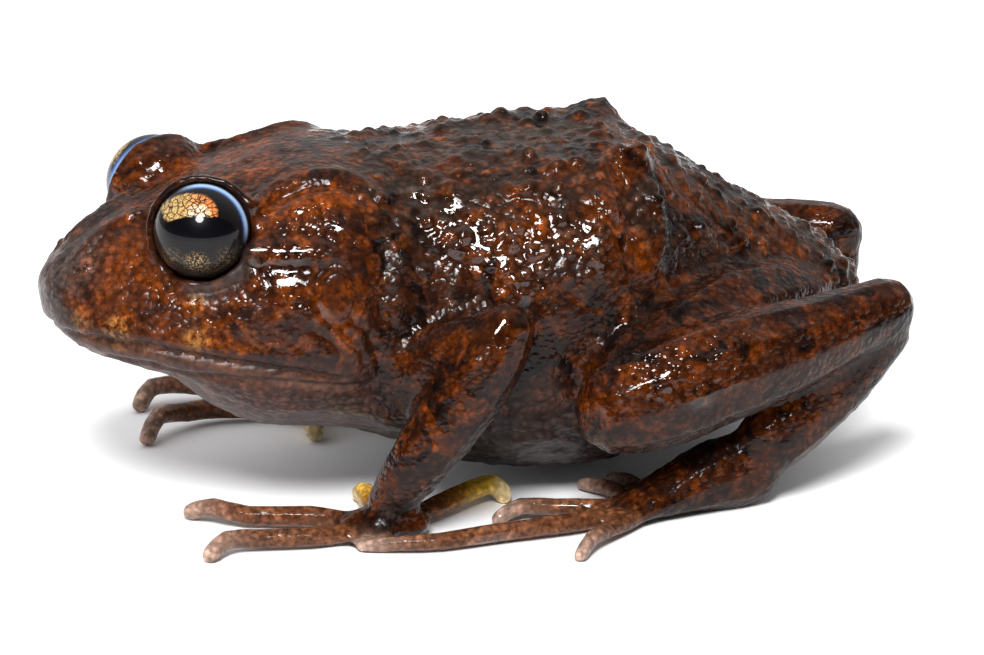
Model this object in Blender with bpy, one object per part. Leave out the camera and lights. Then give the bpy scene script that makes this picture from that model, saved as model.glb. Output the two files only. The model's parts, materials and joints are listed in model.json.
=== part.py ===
"""A still, life-size frog, Lynchius megacephalus, crouched on its four feet with the head raised.

The frog faces -X and its left side faces -Y. Its hands and feet rest on the plane z = 0.
Every size and place below is in millimetres, and the finished meshes are brought to metres at the end.
"""
import math
import random

import bmesh
import bpy
from mathutils import Matrix, Vector
from mathutils.bvhtree import BVHTree

MM = 0.001
GAP = 0.3                # clear space between two neighbouring pieces
SEED = 7

# The body from snout to vent: x, widest level, half width, top, underside, squareness of the top
BODY_KEYS = [
    (-22.95, 11.0, 1.0, 11.8, 10.1, 2.0),
    (-22.50, 10.7, 2.3, 12.4, 9.4, 1.9),
    (-21.70, 10.1, 3.6, 13.1, 8.6, 1.8),
    (-20.50, 9.7, 4.9, 13.9, 8.0, 1.75),
    (-19.00, 9.5, 6.1, 14.7, 7.6, 1.75),
    (-17.00, 9.4, 7.1, 15.6, 6.7, 1.85),
    (-15.00, 9.3, 7.8, 16.3, 5.0, 2.1),
    (-13.00, 9.3, 8.4, 16.8, 4.0, 2.4),
    (-11.00, 9.3, 8.7, 17.2, 3.7, 2.5),
    (-9.00, 9.3, 8.8, 17.4, 3.4, 2.5),
    (-7.00, 9.1, 8.5, 17.3, 2.9, 2.45),
    (-5.00, 8.9, 8.3, 17.1, 2.1, 2.35),
    (-2.80, 8.5, 8.6, 17.1, 1.2, 2.45),
    (0.00, 8.0, 9.2, 17.2, 0.65, 2.6),
    (3.00, 8.0, 9.2, 17.25, 0.5, 2.7),
    (4.60, 8.1, 9.0, 17.15, 0.6, 2.7),
    (6.30, 8.3, 8.3, 17.0, 0.85, 2.5),
    (8.50, 8.6, 7.0, 16.2, 1.5, 2.2),
    (11.00, 8.8, 5.6, 14.6, 3.0, 2.0),
    (13.50, 8.9, 4.6, 13.1, 4.2, 2.0),
    (16.00, 8.7, 3.8, 11.5, 5.2, 2.0),
    (17.80, 8.4, 2.8, 10.1, 6.2, 2.0),
    (18.60, 8.2, 1.5, 9.2, 7.2, 2.0),
]
SNOUT_TIP = (-23.05, 11.0)
VENT_TIP = (18.85, 8.15)
UNDER_SQUARENESS = 2.15  # 2 is an ellipse, more is boxier
BODY_SIDES = 32
RINGS_PER_KEY = 2

HEAD_TURN = math.radians(4.2)      # the head looks a little to the frog's left
HEAD_PIVOT_X = -6.0
TURN_LENGTH = 5.0
NECK_X = -7.6

# Swellings and one hollow of the body's own surface: x, side distance, height, radius, rise
SWELLINGS = [
    (6.3, 4.1, 16.8, 1.25, 1.50),    # paired humps over the hips
    (-2.0, 5.2, 16.0, 2.2, 0.35),    # ridge along each side of the back
    (2.0, 5.0, 16.4, 2.0, 0.20),
    (2.5, 0.0, 17.3, 2.4, -0.30),    # hollow along the middle of the back
    (-9.5, 5.2, 16.6, 2.0, 0.45),    # back of the skull on each side
    (-10.2, 8.6, 9.6, 2.4, 0.35),    # jaw muscle
    (-19.3, 1.7, 14.3, 1.7, 0.40),   # flat top of the snout
]

EYE_X = -16.05
EYE_SIDE = 4.76
EYE_HEIGHT = 14.95
EYE_LEAN = 0.30                      # the head leans a little, so the right eye is lower by this
EYE_RADIUS = 2.38
EYE_AXIS = (-0.30, 0.90, 0.30)       # way the pupil looks, for the right eye
LID_RADII = (2.70, 2.70, 2.45)       # across, along and through the swelling that holds the eye
LID_INSET = 0.50
LID_RISE = 0.05
SOCKET_SIDES = 18
SOCKET_RINGS = 10
LID_EDGE_SEAT = 2.63                 # how far the lids' edges run from the eye's centre
LID_EDGE_AHEAD = -0.10               # how far they run ahead of it, the way the eye looks
UPPER_LID = (-105.0, 105.0, 0.22)    # first and last angle from the top of the eye, and half thickness
LOWER_LID = (110.0, 250.0, 0.20)

# The lip line from the snout to the jaw angle: x and height
MOUTH = [
    (-22.56, 9.50),
    (-21.40, 9.66),
    (-20.20, 9.72),
    (-19.00, 9.62),
    (-16.80, 9.26),
    (-14.00, 8.84),
    (-12.00, 8.50),
    (-9.80, 8.05),
]
MOUTH_OPEN = 0.30
MOUTH_DEPTH = 0.50
MOUTH_END_DEPTH = 0.10
MOUTH_STEPS = 12
MOUTH_CROWDING = 1.6                 # above 1 draws the steps together at the snout
MIDLINE = 0.2                        # the lip line is read no nearer to the middle of the head than this
LIPS = [(0.52, 0.25, 0.34), (-0.50, 0.25, 0.34)]     # each lip: above the lip line, inset, half thickness

NOSTRIL = (-21.55, 2.25, 12.5)
NOSTRIL_WAY = (-0.6, 0.75, 0.25)
NOSTRIL_PIT = (0.24, 0.24, 0.50)
NOSTRIL_RIM = (0.55, 0.55, 0.10)
NOSTRIL_SIDES, NOSTRIL_RINGS = 10, 6
EARDRUM = (-10.2, 8.45, 12.2)
EARDRUM_RADII = (1.05, 1.40, 0.44)
EARDRUM_TILT = 0.25
EARDRUM_SIDES, EARDRUM_RINGS = 14, 6
EAR_FOLD = [
    (-13.5, 5.0, 15.7),
    (-12.4, 4.4, 16.2),
    (-11.2, 4.2, 16.55),
    (-9.8, 4.4, 16.75),
    (-8.6, 5.0, 16.55),
    (-8.0, 6.2, 15.7),
]
EAR_FOLD_RADIUS = 0.42
CANTHUS = [
    (-17.7, 1.90, 15.10),
    (-18.6, 1.40, 14.85),
    (-19.5, 1.20, 14.40),
    (-20.5, 1.15, 13.80),
    (-21.2, 1.40, 13.10),
]
CANTHUS_RADIUS = 0.40

# Warts: x, side distance, and radius. Those above the flank are found from above, the others from the side.
BACK_WARTS = [
    (-5.0, 2.0, 0.40),
    (-3.4, 0.4, 0.36),
    (-2.3, 1.8, 0.43),
    (-1.6, 3.6, 0.40),
    (0.3, 2.2, 0.36),
    (1.1, 3.5, 0.54),
    (2.2, 5.4, 0.43),
    (2.6, 4.6, 0.58),
    (3.4, 2.6, 0.47),
    (3.0, 0.3, 0.36),
    (4.6, 2.6, 0.40),
    (5.7, 0.8, 0.43),
    (7.7, 0.5, 0.50),
    (8.8, 1.7, 0.43),
    (10.3, 1.9, 0.47),
    (11.4, 0.0, 0.36),
    (13.2, 2.0, 0.43),
]
FLANK_WARTS = [
    (-4.8, 14.2, 0.32),
    (-1.8, 13.0, 0.36),
    (0.9, 15.2, 0.40),
    (2.0, 12.4, 0.36),
    (4.6, 15.0, 0.50),
    (4.2, 11.8, 0.32),
    (6.9, 15.0, 0.47),
    (7.6, 12.6, 0.36),
    (9.6, 13.1, 0.47),
    (11.9, 12.3, 0.40),
]
WART_UNEVENNESS = 0.35   # how far the right side's warts may stray from the left side's places
WART_RISE = 0.70         # height and sinking of a wart as shares of its radius
WART_SINK = 0.25
WART_SIDES = 6
WART_RINGS = 5

# Limb paths of the left side: x, y, z, half thickness across, half thickness up
UPPER_ARM = [
    (-6.3, -6.2, 6.4, 2.3, 2.3),
    (-4.9, -8.3, 7.9, 2.0, 2.0),
    (-2.6, -10.4, 9.9, 1.7, 1.7),
]
FOREARM = [
    (-1.75, -11.1, 10.5, 1.55, 1.55),
    (-2.6, -11.1, 9.0, 1.80, 1.80),
    (-4.0, -11.0, 6.9, 1.75, 1.75),
    (-5.4, -10.8, 4.9, 1.65, 1.65),
    (-6.6, -10.4, 3.0, 1.35, 1.35),
    (-7.2, -10.0, 1.9, 1.15, 1.15),
]
PALM = [
    (-6.2, -10.1, 0.75, 1.10, 0.85),
    (-7.5, -9.8, 0.80, 1.65, 0.90),
    (-8.7, -9.5, 0.65, 1.45, 0.72),
]

# Digits from root to tip: x, y, z, with the fingers numbered from the inside of the hand
LEFT_FINGERS = [
    [(-6.6, -9.3, 0.62), (-4.8, -8.3, 0.75), (-2.4, -6.4, 0.90), (-1.1, -5.8, 0.95), (-0.7, -6.0, 0.50)],
    [(-7.6, -8.9, 0.60), (-7.6, -7.2, 0.75), (-7.6, -5.4, 0.85), (-7.6, -4.4, 0.50)],
    [(-8.6, -9.0, 0.62), (-10.8, -7.8, 0.60), (-13.8, -7.1, 0.62), (-15.4, -6.1, 0.85), (-16.3, -5.3, 0.42)],
    [
        (-8.6, -10.4, 0.60),
        (-11.5, -10.8, 0.60),
        (-13.8, -10.6, 0.60),
        (-15.5, -10.8, 0.75),
        (-16.5, -11.7, 0.40),
    ],
]
RIGHT_FINGERS = [
    [(-6.6, 9.3, 0.62), (-4.8, 8.3, 0.75), (-2.4, 6.4, 0.90), (-1.1, 5.8, 0.95), (-0.7, 6.0, 0.50)],
    [(-7.6, 8.9, 0.60), (-7.7, 7.6, 0.75), (-7.9, 6.3, 0.85), (-8.0, 5.4, 0.50)],
    [(-8.6, 9.2, 0.62), (-12.2, 9.5, 0.70), (-13.9, 8.9, 0.80), (-15.6, 7.8, 1.05), (-16.4, 6.5, 0.42)],
    [
        (-8.6, 10.4, 0.60),
        (-11.0, 12.4, 0.70),
        (-13.2, 13.1, 0.85),
        (-15.0, 12.8, 0.95),
        (-15.8, 11.9, 0.42),
    ],
]
FINGER_RADII = [(0.62, 0.50), (0.60, 0.52), (0.62, 0.48), (0.60, 0.48)]      # at the root and at the tip

THIGH = [
    (14.6, -3.0, 8.3, 2.4, 2.6),
    (11.0, -5.6, 8.6, 2.9, 3.0),
    (7.4, -8.4, 8.2, 2.6, 2.8),
    (4.9, -10.2, 7.0, 2.2, 2.3),
]
SHANK = [
    (4.1, -11.3, 6.4, 2.25, 2.45),
    (6.4, -11.1, 7.0, 2.45, 2.80),
    (8.9, -10.7, 7.7, 2.45, 2.75),
    (12.0, -9.9, 8.2, 2.25, 2.50),
    (14.8, -9.0, 8.7, 1.85, 2.05),
    (16.9, -8.2, 9.1, 1.60, 1.80),
    (18.3, -7.6, 9.3, 1.50, 1.65),
]
TARSUS = [
    (18.3, -7.3, 7.9, 1.40, 1.40),
    (16.2, -7.9, 6.0, 1.40, 1.60),
    (13.9, -8.5, 4.4, 1.40, 1.80),
    (12.1, -8.9, 3.3, 1.30, 1.90),
]
FOOT = [
    (11.3, -8.8, 1.75, 1.20, 1.80),
    (10.2, -8.9, 1.85, 1.40, 1.95),
    (8.2, -9.1, 1.45, 1.55, 1.55),
    (6.4, -9.5, 1.00, 1.60, 1.05),
    (5.2, -9.9, 0.78, 1.55, 0.82),
]
RIGHT_ANKLE_SHIFT = Vector((1.1, 0.0, -0.8))     # the right ankle lies a little further back and lower
LEFT_TOES = [
    [(6.2, -8.9, 0.50), (6.1, -6.9, 0.50), (5.7, -5.3, 0.50), (5.2, -4.2, 0.40)],
    [(5.6, -9.0, 0.50), (5.0, -7.4, 0.55), (4.3, -6.1, 0.55), (3.6, -5.0, 0.42)],
    [(5.2, -9.5, 0.55), (3.4, -9.4, 0.60), (1.4, -9.0, 0.62), (-0.4, -8.8, 0.75), (-1.6, -9.2, 0.40)],
    [
        (4.8, -10.4, 0.58),
        (1.2, -11.5, 0.62),
        (-2.2, -12.0, 0.58),
        (-5.2, -12.6, 0.55),
        (-7.0, -12.4, 0.52),
        (-9.0, -11.8, 0.38),
    ],
    [(5.2, -10.9, 0.55), (3.4, -12.6, 0.60), (2.0, -14.1, 0.66), (1.2, -15.3, 0.40)],
]
TOE_RADII = [(0.50, 0.38), (0.50, 0.40), (0.56, 0.40), (0.58, 0.38), (0.54, 0.38)]
FLAT_DEPTH = 0.10        # how deep a digit's underside is flattened on the floor
LIMB_SIDES = 10
LIMB_STEPS = 2
DIGIT_SIDES = 7
DIGIT_STEPS = 2
FOLD_SIDES = 6
END_CAP_ANGLES = (35.0, 65.0)    # rings of a limb's round end, counted from its last full ring
FAR = 30.0                       # past the frog on every side
SHARP_ANGLE = math.radians(50)

SKIN_BROWN = (0.16, 0.045, 0.015)
SKIN_DARK = (0.05, 0.018, 0.010)
SKIN_GREY = (0.20, 0.13, 0.11)
DIGIT_GOLD = (0.50, 0.28, 0.06)
EYE_BLACK = (0.02, 0.02, 0.02)
EYE_ROUGHNESS = 0.05
EYE_SIDES = 18
EYE_RINGS = 12


def clear_scene():
    """Start from an empty scene."""
    for thing in list(bpy.data.objects):
        bpy.data.objects.remove(thing)


def collection(name):
    """Give a collection of this name, linked to the scene."""
    group = bpy.data.collections.get(name)
    if group is None:
        group = bpy.data.collections.new(name)
        bpy.context.scene.collection.children.link(group)
    return group


def skin(name, colour, roughness=0.35):
    """Make a plain Principled material."""
    paint = bpy.data.materials.new(name)
    paint.use_nodes = True
    shader = paint.node_tree.nodes["Principled BSDF"]
    shader.inputs["Base Color"].default_value = (*colour, 1.0)
    shader.inputs["Roughness"].default_value = roughness
    shader.inputs["Metallic"].default_value = 0.0
    return paint


def smooth_between(before, start, end, after, t):
    """Catmull-Rom value between start and end."""
    return 0.5 * (
        2.0 * start
        + (end - before) * t
        + (2.0 * before - 5.0 * start + 4.0 * end - after) * t * t
        + (3.0 * start - before - 3.0 * end + after) * t * t * t
    )


def smooth_rows(keys, steps):
    """Read a smooth curve through the key rows, with this many steps from one key to the next."""
    rows = []
    last = len(keys) - 1
    for index in range(last):
        window = [keys[max(index - 1, 0)], keys[index], keys[index + 1], keys[min(index + 2, last)]]
        for step in range(steps):
            t = step / steps
            rows.append(tuple(smooth_between(*values, t) for values in zip(*window)))
    rows.append(tuple(keys[-1]))
    return rows


def add_object(name, mesh, group="frog"):
    """Link a mesh to the scene under a name."""
    thing = bpy.data.objects.new(name, mesh)
    collection(group).objects.link(thing)
    return thing


def tube_of_rings(name, rings, first_pole, last_pole, group="frog"):
    """Loft a closed surface over rings of equal counts, with a pole at each end."""
    sides = len(rings[0])
    mesh = bpy.data.meshes.new(name)
    build = bmesh.new()
    loops = [[build.verts.new(point) for point in ring] for ring in rings]
    start = build.verts.new(first_pole)
    end = build.verts.new(last_pole)
    for side in range(sides):
        after = (side + 1) % sides
        build.faces.new((start, loops[0][after], loops[0][side]))
        build.faces.new((end, loops[-1][side], loops[-1][after]))
        for near, far in zip(loops, loops[1:]):
            build.faces.new((near[side], near[after], far[after], far[side]))
    bmesh.ops.triangulate(build, faces=build.faces)
    bmesh.ops.recalc_face_normals(build, faces=build.faces)
    build.to_mesh(mesh)
    build.free()
    return add_object(name, mesh, group)


def superellipse(angle, half_width, rise, fall, top_power):
    """Give the side and height offsets of a body section at an angle from its top."""
    sine, cosine = math.sin(angle), math.cos(angle)
    power = top_power if cosine >= 0 else UNDER_SQUARENESS
    reach = rise if cosine >= 0 else fall
    side = math.copysign(abs(sine) ** (2.0 / power), sine) * half_width
    height = math.copysign(abs(cosine) ** (2.0 / power), cosine) * reach
    return side, height


def turned(point):
    """Turn a place on the straight frog with the head, fully in front of the neck."""
    x, y, z = point
    share = min(max((HEAD_PIVOT_X + TURN_LENGTH / 2 - x) / TURN_LENGTH, 0.0), 1.0)
    angle = HEAD_TURN * share * share * (3.0 - 2.0 * share)
    place = Vector((x - HEAD_PIVOT_X, y, 0.0))
    place.rotate(Matrix.Rotation(angle, 3, "Z"))
    return Vector((place.x + HEAD_PIVOT_X, place.y, z))


def swollen(point, outward):
    """Raise the surface over the humps, ridges and jaw muscles."""
    rise = 0.0
    for x, side, z, radius, height in SWELLINGS:
        away = Vector((point.x - x, abs(point.y) - side, point.z - z)).length
        rise += height * math.exp(-((away / radius) ** 2))
    return point + outward * rise


def body_form(name, grow=0.0, group="frog"):
    """Loft the whole body from snout to vent, larger all round by grow."""
    rings = []
    for x, level, half_width, top, underside, power in smooth_rows(BODY_KEYS, RINGS_PER_KEY):
        ring = []
        for side in range(BODY_SIDES):
            angle = 2.0 * math.pi * side / BODY_SIDES
            rise, fall = top - level + grow, level - underside + grow
            across, up = superellipse(angle, half_width + grow, rise, fall, power)
            ring.append((x, across, level + up))
        rings.append(ring)
    snout = (SNOUT_TIP[0] - grow, 0.0, SNOUT_TIP[1])
    vent = (VENT_TIP[0] + grow, 0.0, VENT_TIP[1])
    form = tube_of_rings(name, rings, snout, vent, group)
    form.data.update()
    outward = [vertex.normal.copy() for vertex in form.data.vertices]
    for vertex, normal in zip(form.data.vertices, outward):
        vertex.co = turned(swollen(vertex.co, normal))
    return form


def limb_form(name, keys, steps=LIMB_STEPS, sides=LIMB_SIDES, grow=0.0, group="frog", upright=(0, 0, 1)):
    """Sweep an oval of changing size along a smooth path, with round ends."""
    rows = smooth_rows(keys, steps)
    places = [Vector(row[:3]) for row in rows]
    rings = []
    poles = []
    for index, row in enumerate(rows):
        ahead = places[min(index + 1, len(places) - 1)] - places[max(index - 1, 0)]
        ahead.normalize()
        across = ahead.cross(Vector(upright)).normalized()
        up = across.cross(ahead).normalized()
        wide, tall = row[3] + grow, row[4] + grow
        ends = {0: -1.0, len(rows) - 1: 1.0}
        layers = [(0.0, 1.0)]
        if index in ends:
            reach = (wide + tall) / 2 * ends[index]
            turns = [math.radians(angle) for angle in END_CAP_ANGLES]
            caps = [(math.sin(turn) * reach, math.cos(turn)) for turn in turns]
            layers = layers + caps if ends[index] > 0 else caps[::-1] + layers
            poles.append(places[index] + ahead * reach)
        for shift, share in layers:
            ring = []
            for side in range(sides):
                angle = 2.0 * math.pi * side / sides
                offset = across * math.cos(angle) * wide * share + up * math.sin(angle) * tall * share
                ring.append(places[index] + ahead * shift + offset)
            rings.append(ring)
    return tube_of_rings(name, rings, poles[0], poles[1], group)


def bake(target):
    """Apply what the modifiers of an object make."""
    view = bpy.context.evaluated_depsgraph_get()
    mesh = bpy.data.meshes.new_from_object(target.evaluated_get(view))
    target.modifiers.clear()
    target.data = mesh


def keep_largest(target):
    """Drop every closed surface of a mesh but its largest."""
    build = bmesh.new()
    build.from_mesh(target.data)
    build.faces.ensure_lookup_table()
    unseen = set(build.faces)
    islands = []
    while unseen:
        stack = [unseen.pop()]
        island = list(stack)
        while stack:
            for edge in stack.pop().edges:
                for face in edge.link_faces:
                    if face in unseen:
                        unseen.remove(face)
                        stack.append(face)
                        island.append(face)
        islands.append(island)
    islands.sort(key=lambda faces: sum(face.calc_area() for face in faces))
    for island in islands[:-1]:
        bmesh.ops.delete(build, geom=island, context="FACES")
    loose = [vertex for vertex in build.verts if not vertex.link_faces]
    bmesh.ops.delete(build, geom=loose, context="VERTS")
    build.to_mesh(target.data)
    build.free()


def combine(target, tools, operation):
    """Cut a mesh by others, or join them to it, then remove them."""
    tray = bpy.data.collections.new("tools")
    bpy.context.scene.collection.children.link(tray)
    for tool in tools:
        for owner in list(tool.users_collection):
            owner.objects.unlink(tool)
        tray.objects.link(tool)
    change = target.modifiers.new("combine", "BOOLEAN")
    change.operation = operation
    change.solver = "EXACT"
    change.operand_type = "COLLECTION"
    change.collection = tray
    bake(target)
    for tool in tools:
        bpy.data.objects.remove(tool)
    bpy.data.collections.remove(tray)
    keep_largest(target)
    return target


def on_side(keys, sign):
    """Mirror the left side's places to the right where sign is +1."""
    return [(key[0], -sign * key[1], *key[2:]) for key in keys]


def ankle_drawn(keys, sign, first, last):
    """Move the right ankle's end of a limb by its shift: these shares of it at the first and last key."""
    if sign < 0:
        return keys
    moved = []
    for index, key in enumerate(keys):
        share = first + (last - first) * index / (len(keys) - 1)
        place = Vector(key[:3]) + RIGHT_ANKLE_SHIFT * share
        moved.append((*place, *key[3:]))
    return moved


def ball(name, centre, radii, axis, segments, rings):
    """Make an ellipsoid whose third radius lies along an axis."""
    mesh = bpy.data.meshes.new(name)
    build = bmesh.new()
    bmesh.ops.create_uvsphere(build, u_segments=segments, v_segments=rings, radius=1.0)
    bmesh.ops.scale(build, verts=build.verts, vec=radii)
    turn = Vector((0.0, 0.0, 1.0)).rotation_difference(Vector(axis))
    bmesh.ops.rotate(build, verts=build.verts, matrix=turn.to_matrix())
    bmesh.ops.translate(build, verts=build.verts, vec=centre)
    bmesh.ops.triangulate(build, faces=build.faces)
    build.to_mesh(mesh)
    build.free()
    return add_object(name, mesh)


def block(name, low, high):
    """Make a box between two corners."""
    mesh = bpy.data.meshes.new(name)
    build = bmesh.new()
    bmesh.ops.create_cube(build, size=1.0)
    size = [b - a for a, b in zip(low, high)]
    middle = [(a + b) / 2 for a, b in zip(low, high)]
    bmesh.ops.scale(build, verts=build.verts, vec=size)
    bmesh.ops.translate(build, verts=build.verts, vec=middle)
    build.to_mesh(mesh)
    build.free()
    return add_object(name, mesh)


def eye_centre(sign):
    """Place an eye's centre, on the left for -1 and on the right for +1."""
    return turned((EYE_X, sign * EYE_SIDE, EYE_HEIGHT - EYE_LEAN * (sign + 1) / 2))


def eye_axis(sign):
    """Give the way an eye looks."""
    axis = Vector((EYE_AXIS[0], sign * EYE_AXIS[1], EYE_AXIS[2])).normalized()
    axis.rotate(Matrix.Rotation(HEAD_TURN, 3, "Z"))
    return axis


def read_between(keys, x):
    """Read the values of a list of rows at a place between two of them; each row starts with its place."""
    for near, far in zip(keys, keys[1:]):
        if near[0] <= x <= far[0]:
            t = (x - near[0]) / (far[0] - near[0])
            return [a + (b - a) * t for a, b in zip(near[1:], far[1:])]
    raise ValueError(x)


def half_width_at(x, z):
    """Give the body's half width at a height on the section at x."""
    level, half_width, top, underside, top_power = read_between(BODY_KEYS, x)
    power = top_power if z >= level else UNDER_SQUARENESS
    reach = top - level if z >= level else level - underside
    share = min(abs(z - level) / reach, 1.0)
    return half_width * (1.0 - share ** power) ** (1.0 / power)


def lip_line(lift=0.0):
    """Follow the head's outline at the lips from the right jaw angle to the left: places and ways out."""
    front, rear = MOUTH[0][0], MOUTH[-1][0]
    half = []
    for step in range(MOUTH_STEPS + 1):
        x = front + (rear - front) * (step / MOUTH_STEPS) ** MOUTH_CROWDING
        z = read_between(MOUTH, x)[0] + lift
        half.append((x, half_width_at(x, z), z))
    half = [(x, y, z) for x, y, z in half if y > MIDLINE]
    path = [Vector(place) for place in half[::-1]] + [Vector((x, -y, z)) for x, y, z in half]
    line = []
    for index, place in enumerate(path):
        along = path[min(index + 1, len(path) - 1)] - path[max(index - 1, 0)]
        line.append((place, Vector((along.y, -along.x, 0.0)).normalized()))
    return line


def mouth_cutter():
    """Make a thin band that follows the outline of the head at the lips."""
    line = lip_line()
    mesh = bpy.data.meshes.new("mouth_slit")
    build = bmesh.new()
    half = Vector((0.0, 0.0, MOUTH_OPEN / 2))
    rows = []
    for index, (place, outward) in enumerate(line):
        depth = MOUTH_END_DEPTH if index in (0, len(line) - 1) else MOUTH_DEPTH
        inner, outer = place - outward * depth, place + outward
        corners = (inner - half, outer - half, outer + half, inner + half)
        rows.append([build.verts.new(turned(corner)) for corner in corners])
    for near, far in zip(rows, rows[1:]):
        for corner in range(4):
            after = (corner + 1) % 4
            build.faces.new((near[corner], near[after], far[after], far[corner]))
    build.faces.new(rows[0])
    build.faces.new(rows[-1])
    bmesh.ops.triangulate(build, faces=build.faces)
    bmesh.ops.recalc_face_normals(build, faces=build.faces)
    build.to_mesh(mesh)
    build.free()
    return add_object("mouth_slit", mesh)


def lip_form(lift, inset, radius):
    """Make one lip as a low ridge along the line of the mouth."""
    keys = [(*turned(place - outward * inset), radius, radius) for place, outward in lip_line(lift)]
    return limb_form("lip", keys, 1, FOLD_SIDES)


def lid_form(sign, first, last, radius):
    """Make one lid's edge as a ridge round the eye, between two angles from the eye's top."""
    centre, axis = eye_centre(sign), eye_axis(sign)
    up = (Vector((0.0, 0.0, 1.0)) - axis * axis.z).normalized()
    along = axis.cross(up)
    ring = math.sqrt(LID_EDGE_SEAT ** 2 - LID_EDGE_AHEAD ** 2)
    keys = []
    for step in range(SOCKET_RINGS + 1):
        angle = math.radians(first + (last - first) * step / SOCKET_RINGS)
        place = centre + axis * LID_EDGE_AHEAD + (up * math.cos(angle) + along * math.sin(angle)) * ring
        keys.append((*place, radius, radius))
    return limb_form("lid_edge", keys, 1, FOLD_SIDES, upright=axis)


def head_piece(head):
    """Add lids, lips, ear drums, folds and nostril rims to the head; cut sockets, nostrils and mouth."""
    added = [lip_form(*lip) for lip in LIPS]
    cut = [mouth_cutter()]
    for sign in (-1, 1):
        centre, axis = eye_centre(sign), eye_axis(sign)
        lid_centre = centre - axis * LID_INSET + Vector((0.0, 0.0, LID_RISE))
        added.append(ball("lid", lid_centre, LID_RADII, axis, SOCKET_SIDES, SOCKET_RINGS))
        added.append(lid_form(sign, *UPPER_LID))
        added.append(lid_form(sign, *LOWER_LID))
        socket = (EYE_RADIUS + GAP,) * 3
        cut.append(ball("socket", centre, socket, axis, SOCKET_SIDES, SOCKET_RINGS))
        nostril = turned((NOSTRIL[0], sign * NOSTRIL[1], NOSTRIL[2]))
        outward = Vector((NOSTRIL_WAY[0], sign * NOSTRIL_WAY[1], NOSTRIL_WAY[2]))
        pit = nostril + outward * NOSTRIL_RIM[2] / 2
        added.append(ball("nostril_rim", nostril, NOSTRIL_RIM, outward, NOSTRIL_SIDES, NOSTRIL_RINGS))
        cut.append(ball("nostril", pit, NOSTRIL_PIT, outward, NOSTRIL_SIDES, NOSTRIL_RINGS))
        drum = turned((EARDRUM[0], sign * EARDRUM[1], EARDRUM[2]))
        facing = (0.0, sign, EARDRUM_TILT)
        added.append(ball("ear_drum", drum, EARDRUM_RADII, facing, EARDRUM_SIDES, EARDRUM_RINGS))
        for path, radius in ((EAR_FOLD, EAR_FOLD_RADIUS), (CANTHUS, CANTHUS_RADIUS)):
            places = [turned((x, sign * y, z)) for x, y, z in path]
            keys = [(*place, radius, radius) for place in places]
            added.append(limb_form("fold", keys, LIMB_STEPS, FOLD_SIDES))
    combine(head, added, "UNION")
    return combine(head, cut, "DIFFERENCE")


def surface_tree(piece):
    """Give a search tree over a piece's surface."""
    return BVHTree.FromObject(piece, bpy.context.evaluated_depsgraph_get())


def wart_lines():
    """Give a starting point, a way to look for the skin and a radius for every wart."""
    draw = random.Random(SEED)
    lines = []
    for sign in (-1, 1):
        stray = WART_UNEVENNESS if sign > 0 else 0.0
        for x, side, radius in BACK_WARTS:
            start = Vector((x + draw.uniform(-stray, stray), sign * side + draw.uniform(-stray, stray), FAR))
            lines.append((start, Vector((0.0, 0.0, -1.0)), radius))
        for x, height, radius in FLANK_WARTS:
            place = (x + draw.uniform(-stray, stray), sign * FAR, height + draw.uniform(-stray, stray))
            start = Vector(place)
            lines.append((start, Vector((0.0, -sign, 0.0)), radius))
    return lines


def add_warts(torso, neighbours):
    """Set rounded warts on the back and flanks, sunk in the skin and clear of the limbs."""
    tree = surface_tree(torso)
    others = [surface_tree(piece) for piece in neighbours if piece is not torso]
    warts = []
    places = []
    for start, way, radius in wart_lines():
        hit, normal, _, _ = tree.ray_cast(start, way)
        if any((hit - place).length < radius + other_radius for place, other_radius in places):
            continue
        if any(other.find_nearest(hit, radius + GAP)[0] is not None for other in others):
            continue
        places.append((hit, radius))
        size = (radius, radius, radius * WART_RISE)
        warts.append(ball("wart", hit - normal * radius * WART_SINK, size, normal, WART_SIDES, WART_RINGS))
    return combine(torso, warts, "UNION")


def digit_keys(path, radii, sign=-1):
    """Give a digit its thickness from root to tip, with its pad low enough to rest on the floor."""
    last = len(path) - 1
    keys = []
    for index, (x, y, z) in enumerate(path):
        radius = radii[0] + (radii[1] - radii[0]) * index / last
        if index in (0, last):
            z = radius - FLAT_DEPTH
        keys.append((x, -sign * y, z, radius, radius))
    return keys


def cut_at_floor(piece):
    """Flatten what would reach below the floor."""
    for vertex in piece.data.vertices:
        vertex.co.z = max(vertex.co.z, 0.0)
    return piece


def finish(pieces, piece, paint):
    """Give a piece its one material and count it among the frog's pieces."""
    piece.data.materials.clear()
    piece.data.materials.append(paint)
    pieces.append(piece)


def grown_limb(keys):
    """Make a limb larger all round by the gap, to cut its neighbour clear of it."""
    return limb_form("cutter", keys, grow=GAP, group="cutters")


def grown_body():
    """Make the body larger all round by the gap, to cut a limb clear of it."""
    return body_form("cutter", GAP, "cutters")


def build_head_and_torso(pieces, paint, eye_paint):
    """Make the head with its eyes, and the torso behind the neck."""
    head = body_form("head")
    torso = body_form("torso")
    neck_front, neck_rear = NECK_X - GAP / 2, NECK_X + GAP / 2
    combine(torso, [block("front", (-FAR, -FAR, -FAR), (neck_rear, FAR, FAR))], "DIFFERENCE")
    head_piece(head)
    combine(head, [block("rear", (neck_front, -FAR, -FAR), (FAR, FAR, FAR))], "DIFFERENCE")
    finish(pieces, head, paint)
    finish(pieces, torso, paint)
    for sign, side in ((-1, "left"), (1, "right")):
        eye = ball("eye_" + side, eye_centre(sign), (EYE_RADIUS,) * 3, eye_axis(sign), EYE_SIDES, EYE_RINGS)
        finish(pieces, eye, eye_paint)
    return torso


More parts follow.
